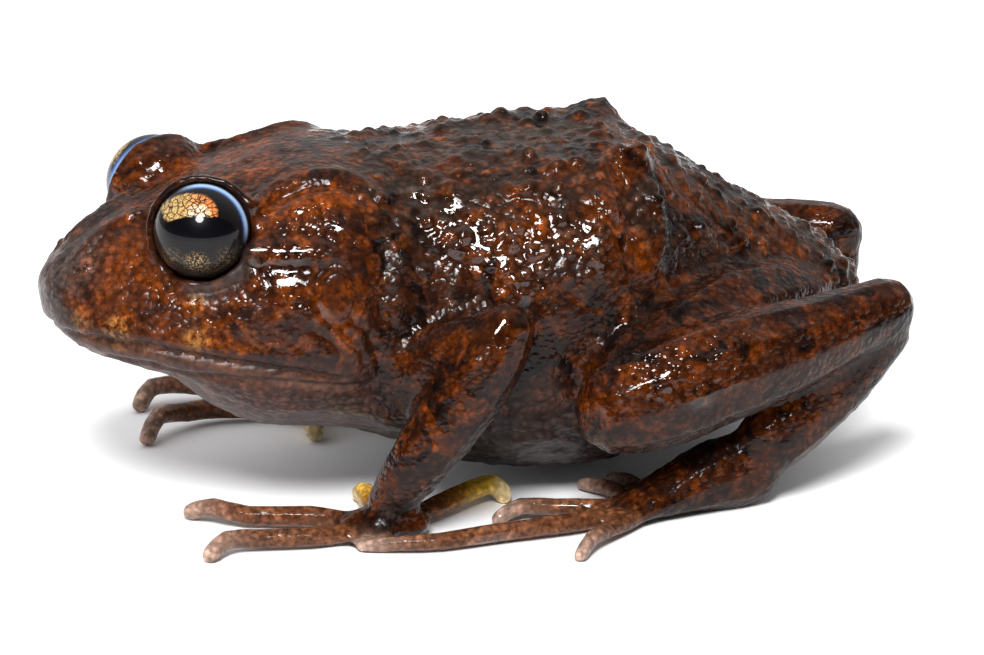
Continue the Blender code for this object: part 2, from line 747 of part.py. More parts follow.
def build_digits(pieces, kind, side, rows, sign, root_keys, paints):
    """Make the digits of a hand or foot, each cut clear of the hand or foot and of the digits before it."""
    before = []
    for number, ((path, radii), paint) in enumerate(zip(rows, paints), 1):
        keys = digit_keys(path, radii, sign)
        digit = cut_at_floor(limb_form(f"{kind}_{number}_{side}", keys, DIGIT_STEPS, DIGIT_SIDES))
        combine(digit, [grown_limb(other) for other in [root_keys, *before]], "DIFFERENCE")
        before.append(keys)
        finish(pieces, digit, paint)


def build_arm(pieces, sign, side, paint, digit_paints):
    """Make an arm, its hand and fingers."""
    forearm_keys, palm_keys = on_side(FOREARM, sign), on_side(PALM, sign)
    forearm = cut_at_floor(limb_form("forearm_" + side, forearm_keys))
    combine(forearm, [grown_body()], "DIFFERENCE")
    upper_arm = limb_form("upper_arm_" + side, on_side(UPPER_ARM, sign))
    combine(upper_arm, [grown_body(), grown_limb(forearm_keys)], "DIFFERENCE")
    palm = cut_at_floor(limb_form("hand_" + side, palm_keys))
    combine(palm, [grown_limb(forearm_keys)], "DIFFERENCE")
    for piece in (forearm, upper_arm, palm):
        finish(pieces, piece, paint)
    fingers = LEFT_FINGERS if sign < 0 else RIGHT_FINGERS
    build_digits(pieces, "finger", side, list(zip(fingers, FINGER_RADII)), -1, palm_keys, digit_paints)


def build_leg(pieces, sign, side, paint, digit_paint):
    """Make a folded leg, its foot and toes."""
    foot_keys = on_side(FOOT, sign)
    shank_keys = ankle_drawn(on_side(SHANK, sign), sign, 0.0, 1.0)
    tarsus_keys = ankle_drawn(on_side(TARSUS, sign), sign, 1.0, 0.0)
    shank = limb_form("shank_" + side, shank_keys)
    combine(shank, [grown_body()], "DIFFERENCE")
    thigh = limb_form("thigh_" + side, on_side(THIGH, sign))
    combine(thigh, [grown_body(), grown_limb(shank_keys)], "DIFFERENCE")
    tarsus = cut_at_floor(limb_form("tarsus_" + side, tarsus_keys))
    combine(tarsus, [grown_body(), grown_limb(shank_keys)], "DIFFERENCE")
    foot = cut_at_floor(limb_form("foot_" + side, foot_keys))
    combine(foot, [grown_body(), grown_limb(tarsus_keys), grown_limb(shank_keys)], "DIFFERENCE")
    for piece in (shank, thigh, tarsus, foot):
        finish(pieces, piece, paint)
    toes = list(zip(LEFT_TOES, TOE_RADII))
    build_digits(pieces, "toe", side, toes, sign, foot_keys, [digit_paint] * len(toes))


def build_frog():
    """Make every piece of the frog, each cut clear of the ones before it."""
    brown, dark = skin("skin_brown", SKIN_BROWN), skin("skin_dark", SKIN_DARK)
    grey, gold = skin("skin_grey", SKIN_GREY), skin("digit_gold", DIGIT_GOLD)
    pieces = []
    torso = build_head_and_torso(pieces, brown, skin("eye_black", EYE_BLACK, EYE_ROUGHNESS))
    for sign, side in ((-1, "left"), (1, "right")):
        build_arm(pieces, sign, side, brown, (gold, gold, grey, grey))
        build_leg(pieces, sign, side, dark, grey)
    add_warts(torso, pieces)
    return pieces


def bring_to_metres(pieces):
    """Centre the frog over the origin, scale it to metres and shade it smooth."""
    xs = [vertex.co.x for piece in pieces for vertex in piece.data.vertices]
    ys = [vertex.co.y for piece in pieces for vertex in piece.data.vertices]
    middle = Vector(((min(xs) + max(xs)) / 2, (min(ys) + max(ys)) / 2, 0.0))
    change = Matrix.Scale(MM, 4) @ Matrix.Translation(-middle)
    for piece in pieces:
        piece.data.transform(change)
        piece.data.shade_smooth()
        piece.data.set_sharp_from_angle(angle=SHARP_ANGLE)
    return middle


clear_scene()
shift = bring_to_metres(build_frog())
print("frog built; centre shift in mm", tuple(round(value, 3) for value in shift))
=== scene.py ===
# %% [markdown]
# # A glossy brown frog, built over a fixed frame
#
# The frame is a CAD model of a frog in 36 plain pieces: a head, a torso, two eyes, and the parts of
# four limbs. This lesson turns it into one living-looking animal. The pieces of flesh become one skin,
# the skin is sculpted and painted, and the eyes stay pieces of their own.
#
# Every size below is in millimetres, because the frog is only 44 mm long. `MM` turns them into metres.

import json
import math

import bpy
import numpy as np
from mathutils import Matrix, Vector
from mathutils.bvhtree import BVHTree
from mathutils.kdtree import KDTree

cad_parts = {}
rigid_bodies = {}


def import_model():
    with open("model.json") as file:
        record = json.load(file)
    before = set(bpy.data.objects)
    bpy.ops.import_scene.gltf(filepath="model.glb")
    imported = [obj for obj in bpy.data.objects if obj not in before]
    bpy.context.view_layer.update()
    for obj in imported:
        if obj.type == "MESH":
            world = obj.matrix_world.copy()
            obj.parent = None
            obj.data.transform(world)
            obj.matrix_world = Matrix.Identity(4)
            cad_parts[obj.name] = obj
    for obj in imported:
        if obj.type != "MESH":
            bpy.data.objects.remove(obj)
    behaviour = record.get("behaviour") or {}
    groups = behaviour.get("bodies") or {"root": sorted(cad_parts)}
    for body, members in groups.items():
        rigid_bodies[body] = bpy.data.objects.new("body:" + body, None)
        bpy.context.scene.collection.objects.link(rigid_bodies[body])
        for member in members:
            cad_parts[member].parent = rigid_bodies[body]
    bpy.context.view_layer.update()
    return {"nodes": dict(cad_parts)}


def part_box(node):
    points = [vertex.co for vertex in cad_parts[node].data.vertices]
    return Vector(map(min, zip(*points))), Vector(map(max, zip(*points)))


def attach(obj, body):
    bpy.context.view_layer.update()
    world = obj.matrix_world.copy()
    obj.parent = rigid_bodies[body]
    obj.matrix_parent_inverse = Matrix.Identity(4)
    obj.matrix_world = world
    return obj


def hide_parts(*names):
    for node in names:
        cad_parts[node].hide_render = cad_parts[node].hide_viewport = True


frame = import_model()
nodes = frame["nodes"]
scene = bpy.context.scene
MM = 0.001

# %% [markdown]
# ## Places on the frog
#
# The frame may be packed again with another centre, so no place is written down in scene coordinates.
# A place on the head is given from the point between the eyes: how far back, how far to the frog's
# right, and how high over the floor. A place on the body is given from the front face of the torso.


# %% Set up the two ways of saying where something is
def centre_of(name):
    """Give the middle of a CAD node's box in millimetres."""
    low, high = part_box(name)
    return np.array((low + high) / 2) / MM


EYES = {"left": centre_of("eye_left"), "right": centre_of("eye_right")}
SIGN = {"left": -1.0, "right": 1.0}
between = (EYES["left"] + EYES["right"]) / 2
side_axis = EYES["right"] - EYES["left"]
side_axis[2] = 0.0
side_axis /= np.linalg.norm(side_axis)
rear_axis = np.array((side_axis[1], -side_axis[0], 0.0))
torso_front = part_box("torso")[0].x / MM


def on_head(back, side, height):
    """Turn head coordinates into a place in the scene."""
    place = between + rear_axis * back + side_axis * side
    return np.array((place[0], place[1], height))


def on_body(behind, side, height):
    """Turn body coordinates into a place in the scene."""
    return np.array((torso_front + behind, side, height))


def both(where, path):
    """Give a path of the left side, and the same path mirrored to the right side."""
    left = np.array([where(*place) for place in path])
    right = np.array([where(a, -b, c) for a, b, c in path])
    return [left, right]


print("between the eyes", np.round(between, 2), "torso front", round(torso_front, 3))

# %% [markdown]
# ## The camera
#
# The photograph was taken with a long lens from a little in front of the frog's left side, looking
# down at 18 degrees. The distance and the lens together set how large one millimetre appears.

# %% Place the camera
CAMERA_TURN = math.radians(12)
CAMERA_DROP = math.radians(18)
CAMERA_DISTANCE = 500.0
PIXELS_PER_MM = 20.0
PICTURE_WIDTH = 984
SENSOR = 36.0
TARGET = on_body(7.45, 0.0, 7.18)

ahead = np.array((
    math.sin(CAMERA_TURN) * math.cos(CAMERA_DROP),
    math.cos(CAMERA_TURN) * math.cos(CAMERA_DROP),
    -math.sin(CAMERA_DROP),
))
across = np.array((math.cos(CAMERA_TURN), -math.sin(CAMERA_TURN), 0.0))
above = np.cross(across, ahead)
bpy.ops.object.camera_add()
camera = bpy.context.object
camera.name = "camera"
camera.data.sensor_width = SENSOR
camera.data.lens = PIXELS_PER_MM * CAMERA_DISTANCE / PICTURE_WIDTH * SENSOR
camera.data.clip_start = 0.01
place = Matrix([(across[i], above[i], -ahead[i], 0.0) for i in range(3)] + [(0.0, 0.0, 0.0, 1.0)])
place.translation = Vector((TARGET - ahead * CAMERA_DISTANCE) * MM)
camera.matrix_world = place
scene.camera = camera
print("camera lens", round(camera.data.lens, 1), "mm")

# %% [markdown]
# ## Tools for meshes
#
# Modifiers do the heavy work: each is added and applied with an operator. Sculpting moves every
# vertex along its normal by a height, which is worked out for all vertices at once.


# %% Small tools
def only(piece):
    """Select one object and make it active."""
    bpy.ops.object.select_all(action="DESELECT")
    piece.select_set(True)
    bpy.context.view_layer.objects.active = piece


def modify(piece, kind, **settings):
    """Add one modifier with these settings and apply it."""
    only(piece)
    bpy.ops.object.modifier_add(type=kind)
    modifier = piece.modifiers[-1]
    for name, value in settings.items():
        setattr(modifier, name, value)
    bpy.ops.object.modifier_apply(modifier=modifier.name)


def places_of(piece):
    """Give all vertex places in millimetres."""
    flat = np.empty(len(piece.data.vertices) * 3, np.float32)
    piece.data.vertices.foreach_get("co", flat)
    return flat.reshape(-1, 3).astype(float) / MM


def normals_of(piece):
    """Give all vertex normals."""
    flat = np.empty(len(piece.data.vertices) * 3, np.float32)
    piece.data.vertex_normals.foreach_get("vector", flat)
    return flat.reshape(-1, 3).astype(float)


def move_to(piece, places):
    """Write vertex places given in millimetres."""
    piece.data.vertices.foreach_set("co", (places * MM).astype(np.float32).ravel())
    piece.data.update()


def relaxed(piece, values, rounds):
    """Even out values over a mesh by averaging each vertex with its neighbours."""
    ends = np.empty(len(piece.data.edges) * 2, np.int32)
    piece.data.edges.foreach_get("vertices", ends)
    a, b = ends[0::2], ends[1::2]
    count = len(piece.data.vertices)
    neighbours = np.maximum(np.bincount(a, minlength=count) + np.bincount(b, minlength=count), 1)
    for _ in range(rounds):
        total = np.bincount(a, values[b], count) + np.bincount(b, values[a], count)
        values = (values + total / neighbours) / 2
    return values


# %% [markdown]
# ## One skin
#
# The copies of all flesh pieces are joined, and a thin ring is added round each eye as the edge of its
# lids. Blowing the mesh up a little closes the gaps between the pieces. The voxel remesh then makes
# one closed surface of everything, and letting the same amount out again restores the size.

# %% Join the flesh pieces and the rims of the lids
EYE_RADIUS = 2.38
LID_REACH = 2.57        # from the eye's centre to the middle of the rim
LID_AHEAD = -0.10       # how far the rim lies ahead of the eye's centre
LID_THICK = 0.18
LID_TILT = math.radians(5)
EYE_WAY = (-0.30, 0.90, 0.30)    # the way an eye looks: rearward, to its own side and up

flesh = sorted(name for name in nodes if not name.startswith("eye"))
copies = []
for name in flesh:
    piece = bpy.data.objects.new("part_of_skin", nodes[name].data.copy())
    scene.collection.objects.link(piece)
    copies.append(piece)


def eye_frame(side):
    """Give the way an eye looks as a matrix: across, up and out."""
    rear, aside, up = EYE_WAY
    out = Vector(rear_axis * rear + side_axis * SIGN[side] * aside + np.array((0.0, 0.0, up))).normalized()
    over = Vector((0.0, 0.0, 1.0))
    right = over.cross(out).normalized()
    return Matrix((right, out.cross(right), out)).transposed()


for side, centre in EYES.items():
    turn = eye_frame(side)
    ring = math.sqrt(LID_REACH ** 2 - LID_AHEAD ** 2)
    bpy.ops.mesh.primitive_torus_add(
        major_radius=ring * MM, minor_radius=LID_THICK * MM, major_segments=72, minor_segments=12)
    rim = bpy.context.object
    rim.name = "part_of_skin"
    tilt = Matrix.Rotation(LID_TILT, 3, "X")
    middle = Vector(centre) + turn @ Vector((0.0, 0.0, LID_AHEAD))
    rim.data.transform(Matrix.Translation(middle * MM) @ (turn @ tilt).to_4x4())
    copies.append(rim)

bpy.ops.object.select_all(action="DESELECT")
for piece in copies:
    piece.select_set(True)
bpy.context.view_layer.objects.active = copies[0]
bpy.ops.object.join()
skin = bpy.context.object
skin.name = "skin"
bpy.ops.object.mode_set(mode="EDIT")
bpy.ops.mesh.select_all(action="SELECT")
bpy.ops.mesh.remove_doubles(threshold=0.001 * MM)
bpy.ops.object.mode_set(mode="OBJECT")
print("joined", len(flesh), "pieces,", len(skin.data.vertices), "vertices")

# %% [markdown]
# The size of the voxels sets the finest detail that the skin can hold.

# %% Make one closed surface
BLOW_UP = 0.19          # two pieces 0.3 apart meet once each has grown by this
VOXEL = 0.155
modify(skin, "DISPLACE", strength=BLOW_UP * MM, mid_level=0.0)
modify(skin, "REMESH", mode="VOXEL", voxel_size=VOXEL * MM, adaptivity=0.0)
modify(skin, "DISPLACE", strength=-BLOW_UP * MM, mid_level=0.0)
modify(skin, "SMOOTH", factor=0.5, iterations=4)
print("skin before sculpting:", len(skin.data.polygons), "faces")

# %% [markdown]
# Where two CAD pieces met there is still a groove. The skin is smoothed more there. A joint is found
# as the places on one piece that are close to its neighbour in the limb.

# %% Smooth the joints between the pieces
JOINT_GAP = 0.42        # places this near to the neighbour belong to the joint
JOINT_REACH = 0.9       # the smoothing fades over this distance
WEIGHT_STEPS = 10
chains = [("head", "torso")]
for side in EYES:
    chains += [(f"upper_arm_{side}", "torso"), (f"upper_arm_{side}", f"forearm_{side}")]
    chains += [(f"forearm_{side}", f"hand_{side}"), (f"thigh_{side}", "torso")]
    chains += [(f"shank_{side}", f"tarsus_{side}"), (f"tarsus_{side}", f"foot_{side}")]
    chains += [(f"finger_{n}_{side}", f"hand_{side}") for n in range(1, 5)]
    chains += [(f"toe_{n}_{side}", f"foot_{side}") for n in range(1, 6)]


def close_points(first, second):
    """Give the face centres and vertices of one node that lie close to another node."""
    tree = BVHTree.FromPolygons(
        [v.co for v in nodes[second].data.vertices], [p.vertices for p in nodes[second].data.polygons])
    samples = [v.co for v in nodes[first].data.vertices] + [p.center for p in nodes[first].data.polygons]
    return [p / MM for p in samples if tree.find_nearest(p, JOINT_GAP * MM)[0] is not None]


joint_points = [p for first, second in chains for p in close_points(first, second)]
joint_points += [p for first, second in chains for p in close_points(second, first)]


def search_tree(points):
    """Build a quick search over points."""
    tree = KDTree(len(points))
    for index, point in enumerate(points):
        tree.insert(Vector(point), index)
    tree.balance()
    return tree


joint_tree = search_tree(joint_points)
reach = np.array([joint_tree.find(Vector(p))[2] for p in places_of(skin)])
weights = np.clip(1.5 - reach / JOINT_REACH, 0.0, 1.0)
group = skin.vertex_groups.new(name="joints")
for step in range(1, WEIGHT_STEPS + 1):
    chosen = np.nonzero((weights > (step - 1) / WEIGHT_STEPS) & (weights <= step / WEIGHT_STEPS))[0]
    group.add(chosen.tolist(), step / WEIGHT_STEPS, "REPLACE")
modify(skin, "SMOOTH", factor=0.8, iterations=26, vertex_group="joints")
skin.vertex_groups.clear()
print("joint places", len(joint_points), "smoothed vertices", int((weights > 0).sum()))

# %% [markdown]
# ## Patterns in space
#
# Warts and granules are scattered by dividing space into cells. Each cell holds one rounded bump at a
# place, size and height of its own, drawn from the numbers of the cell. A vertex takes the highest
# bump that reaches it. `cloud` gives soft patches in the same way.


# %% Scattered bumps, soft patches and lines
def drawn(cells, salt):
    """Draw a number from 0 to 1 for every cell; the same cell always gives the same number."""
    x, y, z = (cells[:, axis].astype(np.int64) for axis in range(3))
    bits = (x * 73856093) ^ (y * 19349663) ^ (z * 83492791) ^ (salt * 2654435761)
    bits = (bits & 0xFFFFFFFF).astype(np.uint32)
    bits = (bits ^ (bits >> np.uint32(16))) * np.uint32(0x7FEB352D)
    bits = (bits ^ (bits >> np.uint32(15))) * np.uint32(0x846CA68B)
    return (bits ^ (bits >> np.uint32(16))) / 2.0 ** 32


def granules(points, spacing, salt, least=0.3, widest=0.72, share=1.0):
    """Give 0 between bumps and up to 1 on their tops."""
    scaled = points / spacing
    home = np.floor(scaled)
    best = np.zeros(len(points))
    for offset in np.ndindex(3, 3, 3):
        cell = home + np.array(offset) - 1.0
        centre = cell + np.stack([drawn(cell, salt + axis) for axis in range(3)], 1)
        height = drawn(cell, salt + 3)
        radius = widest * (0.55 + 0.45 * height)
        gap = np.linalg.norm(scaled - centre, axis=1)
        dome = np.clip(1.0 - (gap / radius) ** 2, 0.0, 1.0) * (least + (1.0 - least) * height)
        best = np.maximum(best, np.where(drawn(cell, salt + 4) <= share, dome, 0.0))
    return best


def cloud(points, spacing, salt):
    """Give soft patches from 0 to 1."""
    scaled = points / spacing
    home = np.floor(scaled)
    inside = scaled - home
    inside = inside * inside * (3.0 - 2.0 * inside)
    total = np.zeros(len(points))
    for offset in np.ndindex(2, 2, 2):
        corner = np.array(offset)
        share = np.prod(np.where(corner == 1, inside, 1.0 - inside), axis=1)
        total += share * drawn(home + corner, salt)
    return total


def ramp(values, low, high):
    """Rise smoothly from 0 at low to 1 at high."""
    t = np.clip((values - low) / (high - low), 0.0, 1.0)
    return t * t * (3.0 - 2.0 * t)


def spot(points, centre, radius):
    """Give 1 at a place, fading over a radius."""
    return np.exp(-(((points - centre) ** 2).sum(1)) / radius ** 2)


def patches_at(points, where, spots):
    """Sum soft spots on both sides; each is a place and a radius."""
    total = np.zeros(len(points))
    for *place, radius in spots:
        for middle in both(where, [place]):
            total += spot(points, middle[0], radius)
    return total


def line(points, path, radius):
    """Give 1 on a path, fading over a radius."""
    result = np.zeros(len(points))
    low, high = path.min(0) - 3.0 * radius, path.max(0) + 3.0 * radius
    near = np.all((points > low) & (points < high), axis=1)
    chosen = points[near]
    best = np.full(len(chosen), np.inf)
    for start, end in zip(path, path[1:]):
        way = end - start
        t = np.clip((chosen - start) @ way / (way @ way), 0.0, 1.0)
        best = np.minimum(best, np.linalg.norm(chosen - start - t[:, None] * way, axis=1))
    result[near] = np.exp(-((best / radius) ** 2))
    return result


# %% [markdown]
# A listed path lies a little off the skin. `snapped` divides it into short steps and moves
# each step to the nearest place on the skin, so that a fold follows the form.

# %% Lines that lie on the skin
STEP = 0.35
skin_tree = BVHTree.FromPolygons(
    [v.co for v in skin.data.vertices], [p.vertices for p in skin.data.polygons])


def snapped(path):
    """Lay a path on the skin in short steps."""
    dense = []
    for start, end in zip(path, path[1:]):
        steps = max(1, int(np.linalg.norm(end - start) / STEP))
        dense += [start + (end - start) * i / steps for i in range(steps)]
    dense.append(path[-1])
    found = [skin_tree.find_nearest(Vector(p) * MM)[0] for p in dense]
    return np.array([np.array(p) / MM for p in found])


def fold(points, where, path, radius):
    """Give 1 along a path and along its mirror image, fading over a radius."""
    return sum(line(points, snapped(side_path), radius) for side_path in both(where, path))


# %% [markdown]
# ## Which part a vertex belongs to
#
# The nearest CAD piece tells whether a place is on the head, the torso or a limb. The masks are evened
# out over the mesh so that one kind of skin passes softly into the next.

# %% Label the vertices by CAD piece
labels = []
label_points = []
for index, name in enumerate(flesh):
    label_points += [np.array(v.co) / MM for v in nodes[name].data.vertices]
    label_points += [np.array(p.center) / MM for p in nodes[name].data.polygons]
    labels += [index] * (len(label_points) - len(labels))
label_tree = search_tree(label_points)


def part_masks(piece, rounds):
    """Give a soft mask for each kind of piece: head, torso, arm, leg and digit."""
    found = np.array([labels[label_tree.find(Vector(p))[1]] for p in places_of(piece)])
    kinds = {
        "head": ("head",), "torso": ("torso",), "arm": ("upper_arm", "forearm", "hand"),
        "leg": ("thigh", "shank", "tarsus", "foot"), "digit": ("finger", "toe"),
    }
    masks = {}
    for kind, starts in kinds.items():
        chosen = [i for i, name in enumerate(flesh) if name.startswith(starts)]
        masks[kind] = relaxed(piece, np.isin(found, chosen).astype(float), rounds)
    return found, masks


places = places_of(skin)
normals = normals_of(skin)
found, masks = part_masks(skin, 12)
print({kind: int(mask.sum()) for kind, mask in masks.items()})

# %% [markdown]
# ## Sculpting the large forms
#
# First come the folds that give a frog its face: lips and the line of the mouth, the crease under the
# jaw, ridges from the eye to the nostril, the fold over the ear drum, and the loose folds of the neck,
# flank and loin.

# %% Mouth, lips, nostrils, ear drums and folds
MOUTH = [
    (-6.5, 0.0, 9.5), (-6.35, -1.5, 9.5), (-5.97, -2.73, 9.55), (-5.08, -4.24, 9.69), (-3.22, -5.88, 9.67),
    (-0.78, -7.14, 9.28), (2.0, -8.08, 8.86), (3.88, -8.61, 8.54), (6.1, -8.7, 8.05),
]
JAW_CREASE = [(-4.5, -3.9, 8.65), (-2.94, -5.7, 8.62), (-1.53, -6.1, 8.25), (0.21, -7.2, 8.13),
              (3.9, -8.5, 7.9), (6.1, -8.7, 7.55), (7.5, -8.6, 7.6)]
HEAD_FOLDS = [
    # path, radius, height
    ([(-1.6, -0.8, 15.2), (-2.35, -0.7, 14.9), (-3.3, -0.6, 14.4), (-4.4, -0.6, 13.9), (-5.2, -0.9, 13.3)],
     0.45, 0.10),
    ([(2.5, -4.95, 16.1), (3.6, -4.0, 16.4), (4.7, -3.8, 16.8), (6.2, -4.05, 17.1), (7.4, -4.3, 17.0),
      (8.2, -4.9, 16.65), (8.7, -5.7, 16.05), (8.6, -6.6, 15.2)], 0.42, 0.26),
    ([(2.9, -5.2, 15.6), (3.9, -4.7, 16.2), (5.3, -4.8, 16.6), (7.0, -5.2, 16.6), (7.7, -6.0, 16.2)],
     0.30, -0.16),
    ([(2.0, -6.4, 14.2), (3.6, -7.0, 14.3), (5.2, -7.5, 14.25), (6.4, -7.9, 13.8)], 0.60, 0.22),
    ([(2.0, -6.6, 13.4), (3.6, -7.3, 13.4), (5.0, -7.8, 13.3)], 0.40, -0.12),
    ([(-0.9, -5.9, 12.6), (0.2, -6.4, 12.8), (1.2, -6.5, 13.4), (2.0, -6.3, 14.3)], 0.45, 0.16),
    ([(-1.6, -5.6, 12.2), (0.0, -6.3, 12.2), (1.5, -6.7, 12.7)], 0.28, -0.12),
    ([(-6.0, -0.8, 12.7), (-6.3, -1.6, 12.0), (-6.1, -2.5, 11.5), (-5.9, -3.0, 11.2)], 0.30, -0.10),
    ([(-6.2, -1.0, 13.2), (-6.5, -1.4, 12.5), (-6.3, -2.2, 12.0)], 0.35, 0.10),
    ([(-4.6, -3.9, 8.4), (-3.4, -4.6, 7.9), (-1.6, -5.4, 7.3)], 0.35, 0.06),
    ([(4.6, -8.4, 10.6), (5.6, -8.7, 9.9), (6.2, -8.7, 8.9)], 0.22, -0.10),
    ([(5.6, -8.5, 10.9), (6.6, -8.7, 10.0), (7.1, -8.7, 8.7)], 0.22, -0.10),
    ([(6.4, -8.4, 11.0), (7.5, -8.6, 10.0), (7.9, -8.6, 8.5)], 0.24, -0.12),
]
BODY_FOLDS = [
    ([(0.74, -6.3, 15.45), (0.54, -7.55, 14.0), (0.27, -8.35, 12.5), (0.0, -8.2, 10.9), (-0.6, -9.1, 9.7)],
     0.45, -0.24),
    ([(1.6, -6.3, 15.4), (1.5, -7.6, 13.9), (1.3, -8.4, 12.4), (1.0, -8.5, 10.9)], 0.55, 0.14),
    ([(1.4, -1.9, 17.1), (2.6, -3.3, 16.7), (3.8, -4.7, 16.3), (4.6, -5.7, 15.8)], 0.50, 0.20),
    ([(5.8, -2.4, 17.0), (7.7, -3.1, 17.3), (10.0, -4.3, 17.1), (11.85, -4.9, 17.1)], 0.70, 0.22),
    ([(7.6, -6.0, 16.2), (8.8, -6.05, 16.0), (9.7, -6.6, 15.5)], 0.50, 0.18),
    ([(11.75, -5.4, 16.8), (11.8, -6.4, 15.5), (11.3, -7.6, 13.9), (10.55, -8.5, 12.1)], 0.55, 0.24),
    ([(12.6, -5.6, 16.0), (12.9, -6.6, 14.6), (12.5, -7.7, 12.9)], 0.45, -0.20),
    ([(14.3, -5.4, 15.6), (14.6, -6.3, 13.8), (13.8, -7.6, 12.1)], 0.50, 0.20),
    ([(16.9, -4.9, 13.2), (17.9, -5.1, 11.9), (18.0, -6.9, 11.4)], 0.50, 0.20),
    ([(4.6, -8.4, 13.6), (5.0, -9.0, 11.6), (4.8, -9.2, 9.4)], 0.45, -0.14),
    ([(7.4, -8.0, 13.9), (7.6, -8.8, 11.8), (7.2, -9.1, 9.6)], 0.50, -0.14),
]
LIPS = [(0.55, 0.40, 0.05), (-0.42, 0.30, 0.04), (0.0, 0.14, -0.24)]    # over the mouth, radius, height


def mouth_at(lift):
    """Give the line of the mouth, raised or lowered."""
    return [(back, side, up + lift) for back, side, up in MOUTH]


height = np.zeros(len(places))
for path, radius, rise in [(mouth_at(lift), *rest) for lift, *rest in LIPS] + [(JAW_CREASE, 0.24, -0.18)]:
    height += rise * fold(places, on_head, path, radius)
for path, radius, rise in HEAD_FOLDS:
    height += rise * fold(places, on_head, path, radius)
for path, radius, rise in BODY_FOLDS:
    height += rise * fold(places, on_body, path, radius)

NOSTRIL = (-5.74, -2.17, 12.61)
NOSTRIL_FORM = [(0.50, 0.10), (0.25, -0.45)]          # radius and height of the rim, then of the pit
DRUM = (5.74, -8.76, 12.28)
DRUM_HALF = (1.05, 1.35)
DRUM_DEPTH = 1.4        # how far to either side of the drum's place its skin may lie
DRUM_RINGS = [(1.0, 0.13, -0.13), (1.28, 0.14, 0.05)]    # place as a share of the drum, width, height
DRUM_SINK = 0.12
for nostril in both(on_head, [NOSTRIL]):
    for radius, rise in NOSTRIL_FORM:
        height += rise * spot(places, nostril[0], radius)
drum = np.zeros(len(places))
for middle in both(on_head, [DRUM]):
    away = places - middle[0]
    oval = np.hypot(away @ rear_axis / DRUM_HALF[0], away[:, 2] / DRUM_HALF[1])
    near_drum = np.abs(away @ side_axis) < DRUM_DEPTH
    for share, width, rise in DRUM_RINGS:
        height += rise * np.exp(-(((oval - share) / width) ** 2)) * near_drum
    height -= DRUM_SINK * ramp(-oval, -0.9, -0.2) * near_drum
    drum = np.maximum(drum, ramp(-oval, -1.05, -0.85) * near_drum)
places = places + normals * height[:, None]
move_to(skin, places)
normals = normals_of(skin)
print("large forms reach from", round(height.min(), 2), "to", round(height.max(), 2), "mm")

# %% [markdown]
# ## Sculpting the warts
#
# The back carries tubercles at known places. Between them lie granules of two sizes. They are low on
# the snout and limbs, flat and crowded like cobbles on the belly, and absent from the lips and the ear
# drums, which are smooth and wet. Where the photograph shows a cluster of white dots, the skin has
# beads, because each bead mirrors the lamp once. Where it shows one large highlight, the skin is slick.

# %% Tubercles, granules and wet beads
# Each row is a place and a radius.
DOTS_HEAD = [
    (3.2, -5.3, 15.8, 1.0), (4.6, -6.2, 15.7, 1.0), (5.8, -7.1, 15.0, 0.8), (2.2, -6.8, 13.9, 0.9),
    (3.6, -7.4, 13.8, 1.0), (2.7, -7.8, 12.6, 0.7), (4.0, -8.3, 12.1, 0.6), (4.9, -8.7, 11.6, 0.5),
    (-0.75, -2.6, 16.3, 0.9),
]
DOTS_BODY = [
    (3.0, -5.2, 16.0, 1.0), (3.6, -6.2, 15.2, 1.0), (4.4, -7.3, 13.9, 1.2), (6.1, -7.6, 14.2, 1.2),
    (7.1, -8.2, 13.3, 1.1), (8.8, -7.7, 14.4, 1.2), (10.2, -7.8, 14.2, 0.9), (7.4, -8.7, 12.0, 0.9),
    (11.1, -8.5, 12.9, 0.7), (12.2, -7.9, 13.6, 0.6), (5.3, -12.3, 11.1, 0.8), (3.6, -11.8, 9.9, 0.5),
    (3.0, -12.0, 8.9, 0.5), (12.7, -12.4, 9.0, 0.9), (13.5, -13.1, 8.4, 1.0), (15.0, -12.4, 9.4, 1.1),
    (16.2, -12.6, 9.2, 1.1), (12.8, -13.2, 8.0, 0.7), (15.0, -13.4, 7.5, 0.8), (16.6, -12.9, 8.4, 0.8),
    (18.4, -11.8, 9.8, 0.8), (20.6, -11.1, 9.9, 0.6), (10.7, -13.1, 7.1, 0.7), (9.4, -9.6, 0.6, 0.8),
    (10.5, -9.7, 0.9, 0.8), (12.2, -10.2, 1.4, 0.9), (4.2, -12.7, 0.6, 0.7), (5.4, -12.5, 0.7, 0.7),
    (26.7, -6.5, 9.5, 0.6),
]
SLICK_BODY = [(5.3, -12.3, 11.1, 0.75), (10.7, -13.1, 7.1, 0.55)]
SLICK_HEAD = [(-0.75, -2.6, 16.3, 0.55)]
TUBERCLES = [
    (5.2, 2.0, 17.05), (8.6, 3.5, 17.2), (2.2, -1.7, 17.0), (9.9, -4.7, 16.9), (5.95, -1.8, 17.1),
    (8.1, -5.8, 16.1), (13.1, 0.8, 17.4), (15.15, -0.4, 16.6), (16.2, -1.6, 15.9), (17.6, -1.9, 14.8),
    (12.0, -6.65, 15.1), (14.2, -5.7, 15.2), (16.9, -4.9, 13.2), (19.2, -4.05, 12.25), (7.95, 0.4, 17.3),
    (10.7, 2.5, 17.5), (12.1, 2.65, 17.6), (8.3, -2.75, 17.2), (5.0, -2.8, 16.9), (3.7, -0.4, 17.1),
    (11.8, -2.9, 17.6), (18.5, -2.5, 13.9), (20.7, -2.0, 12.8), (22.2, -2.3, 11.8),
]


TUBERCLE_SIZE = (0.42, 0.18)     # radius and height
BEAD_HEIGHT = 0.070
WARP = 0.35                      # how far the pattern of cells is pushed about, so that no rows show

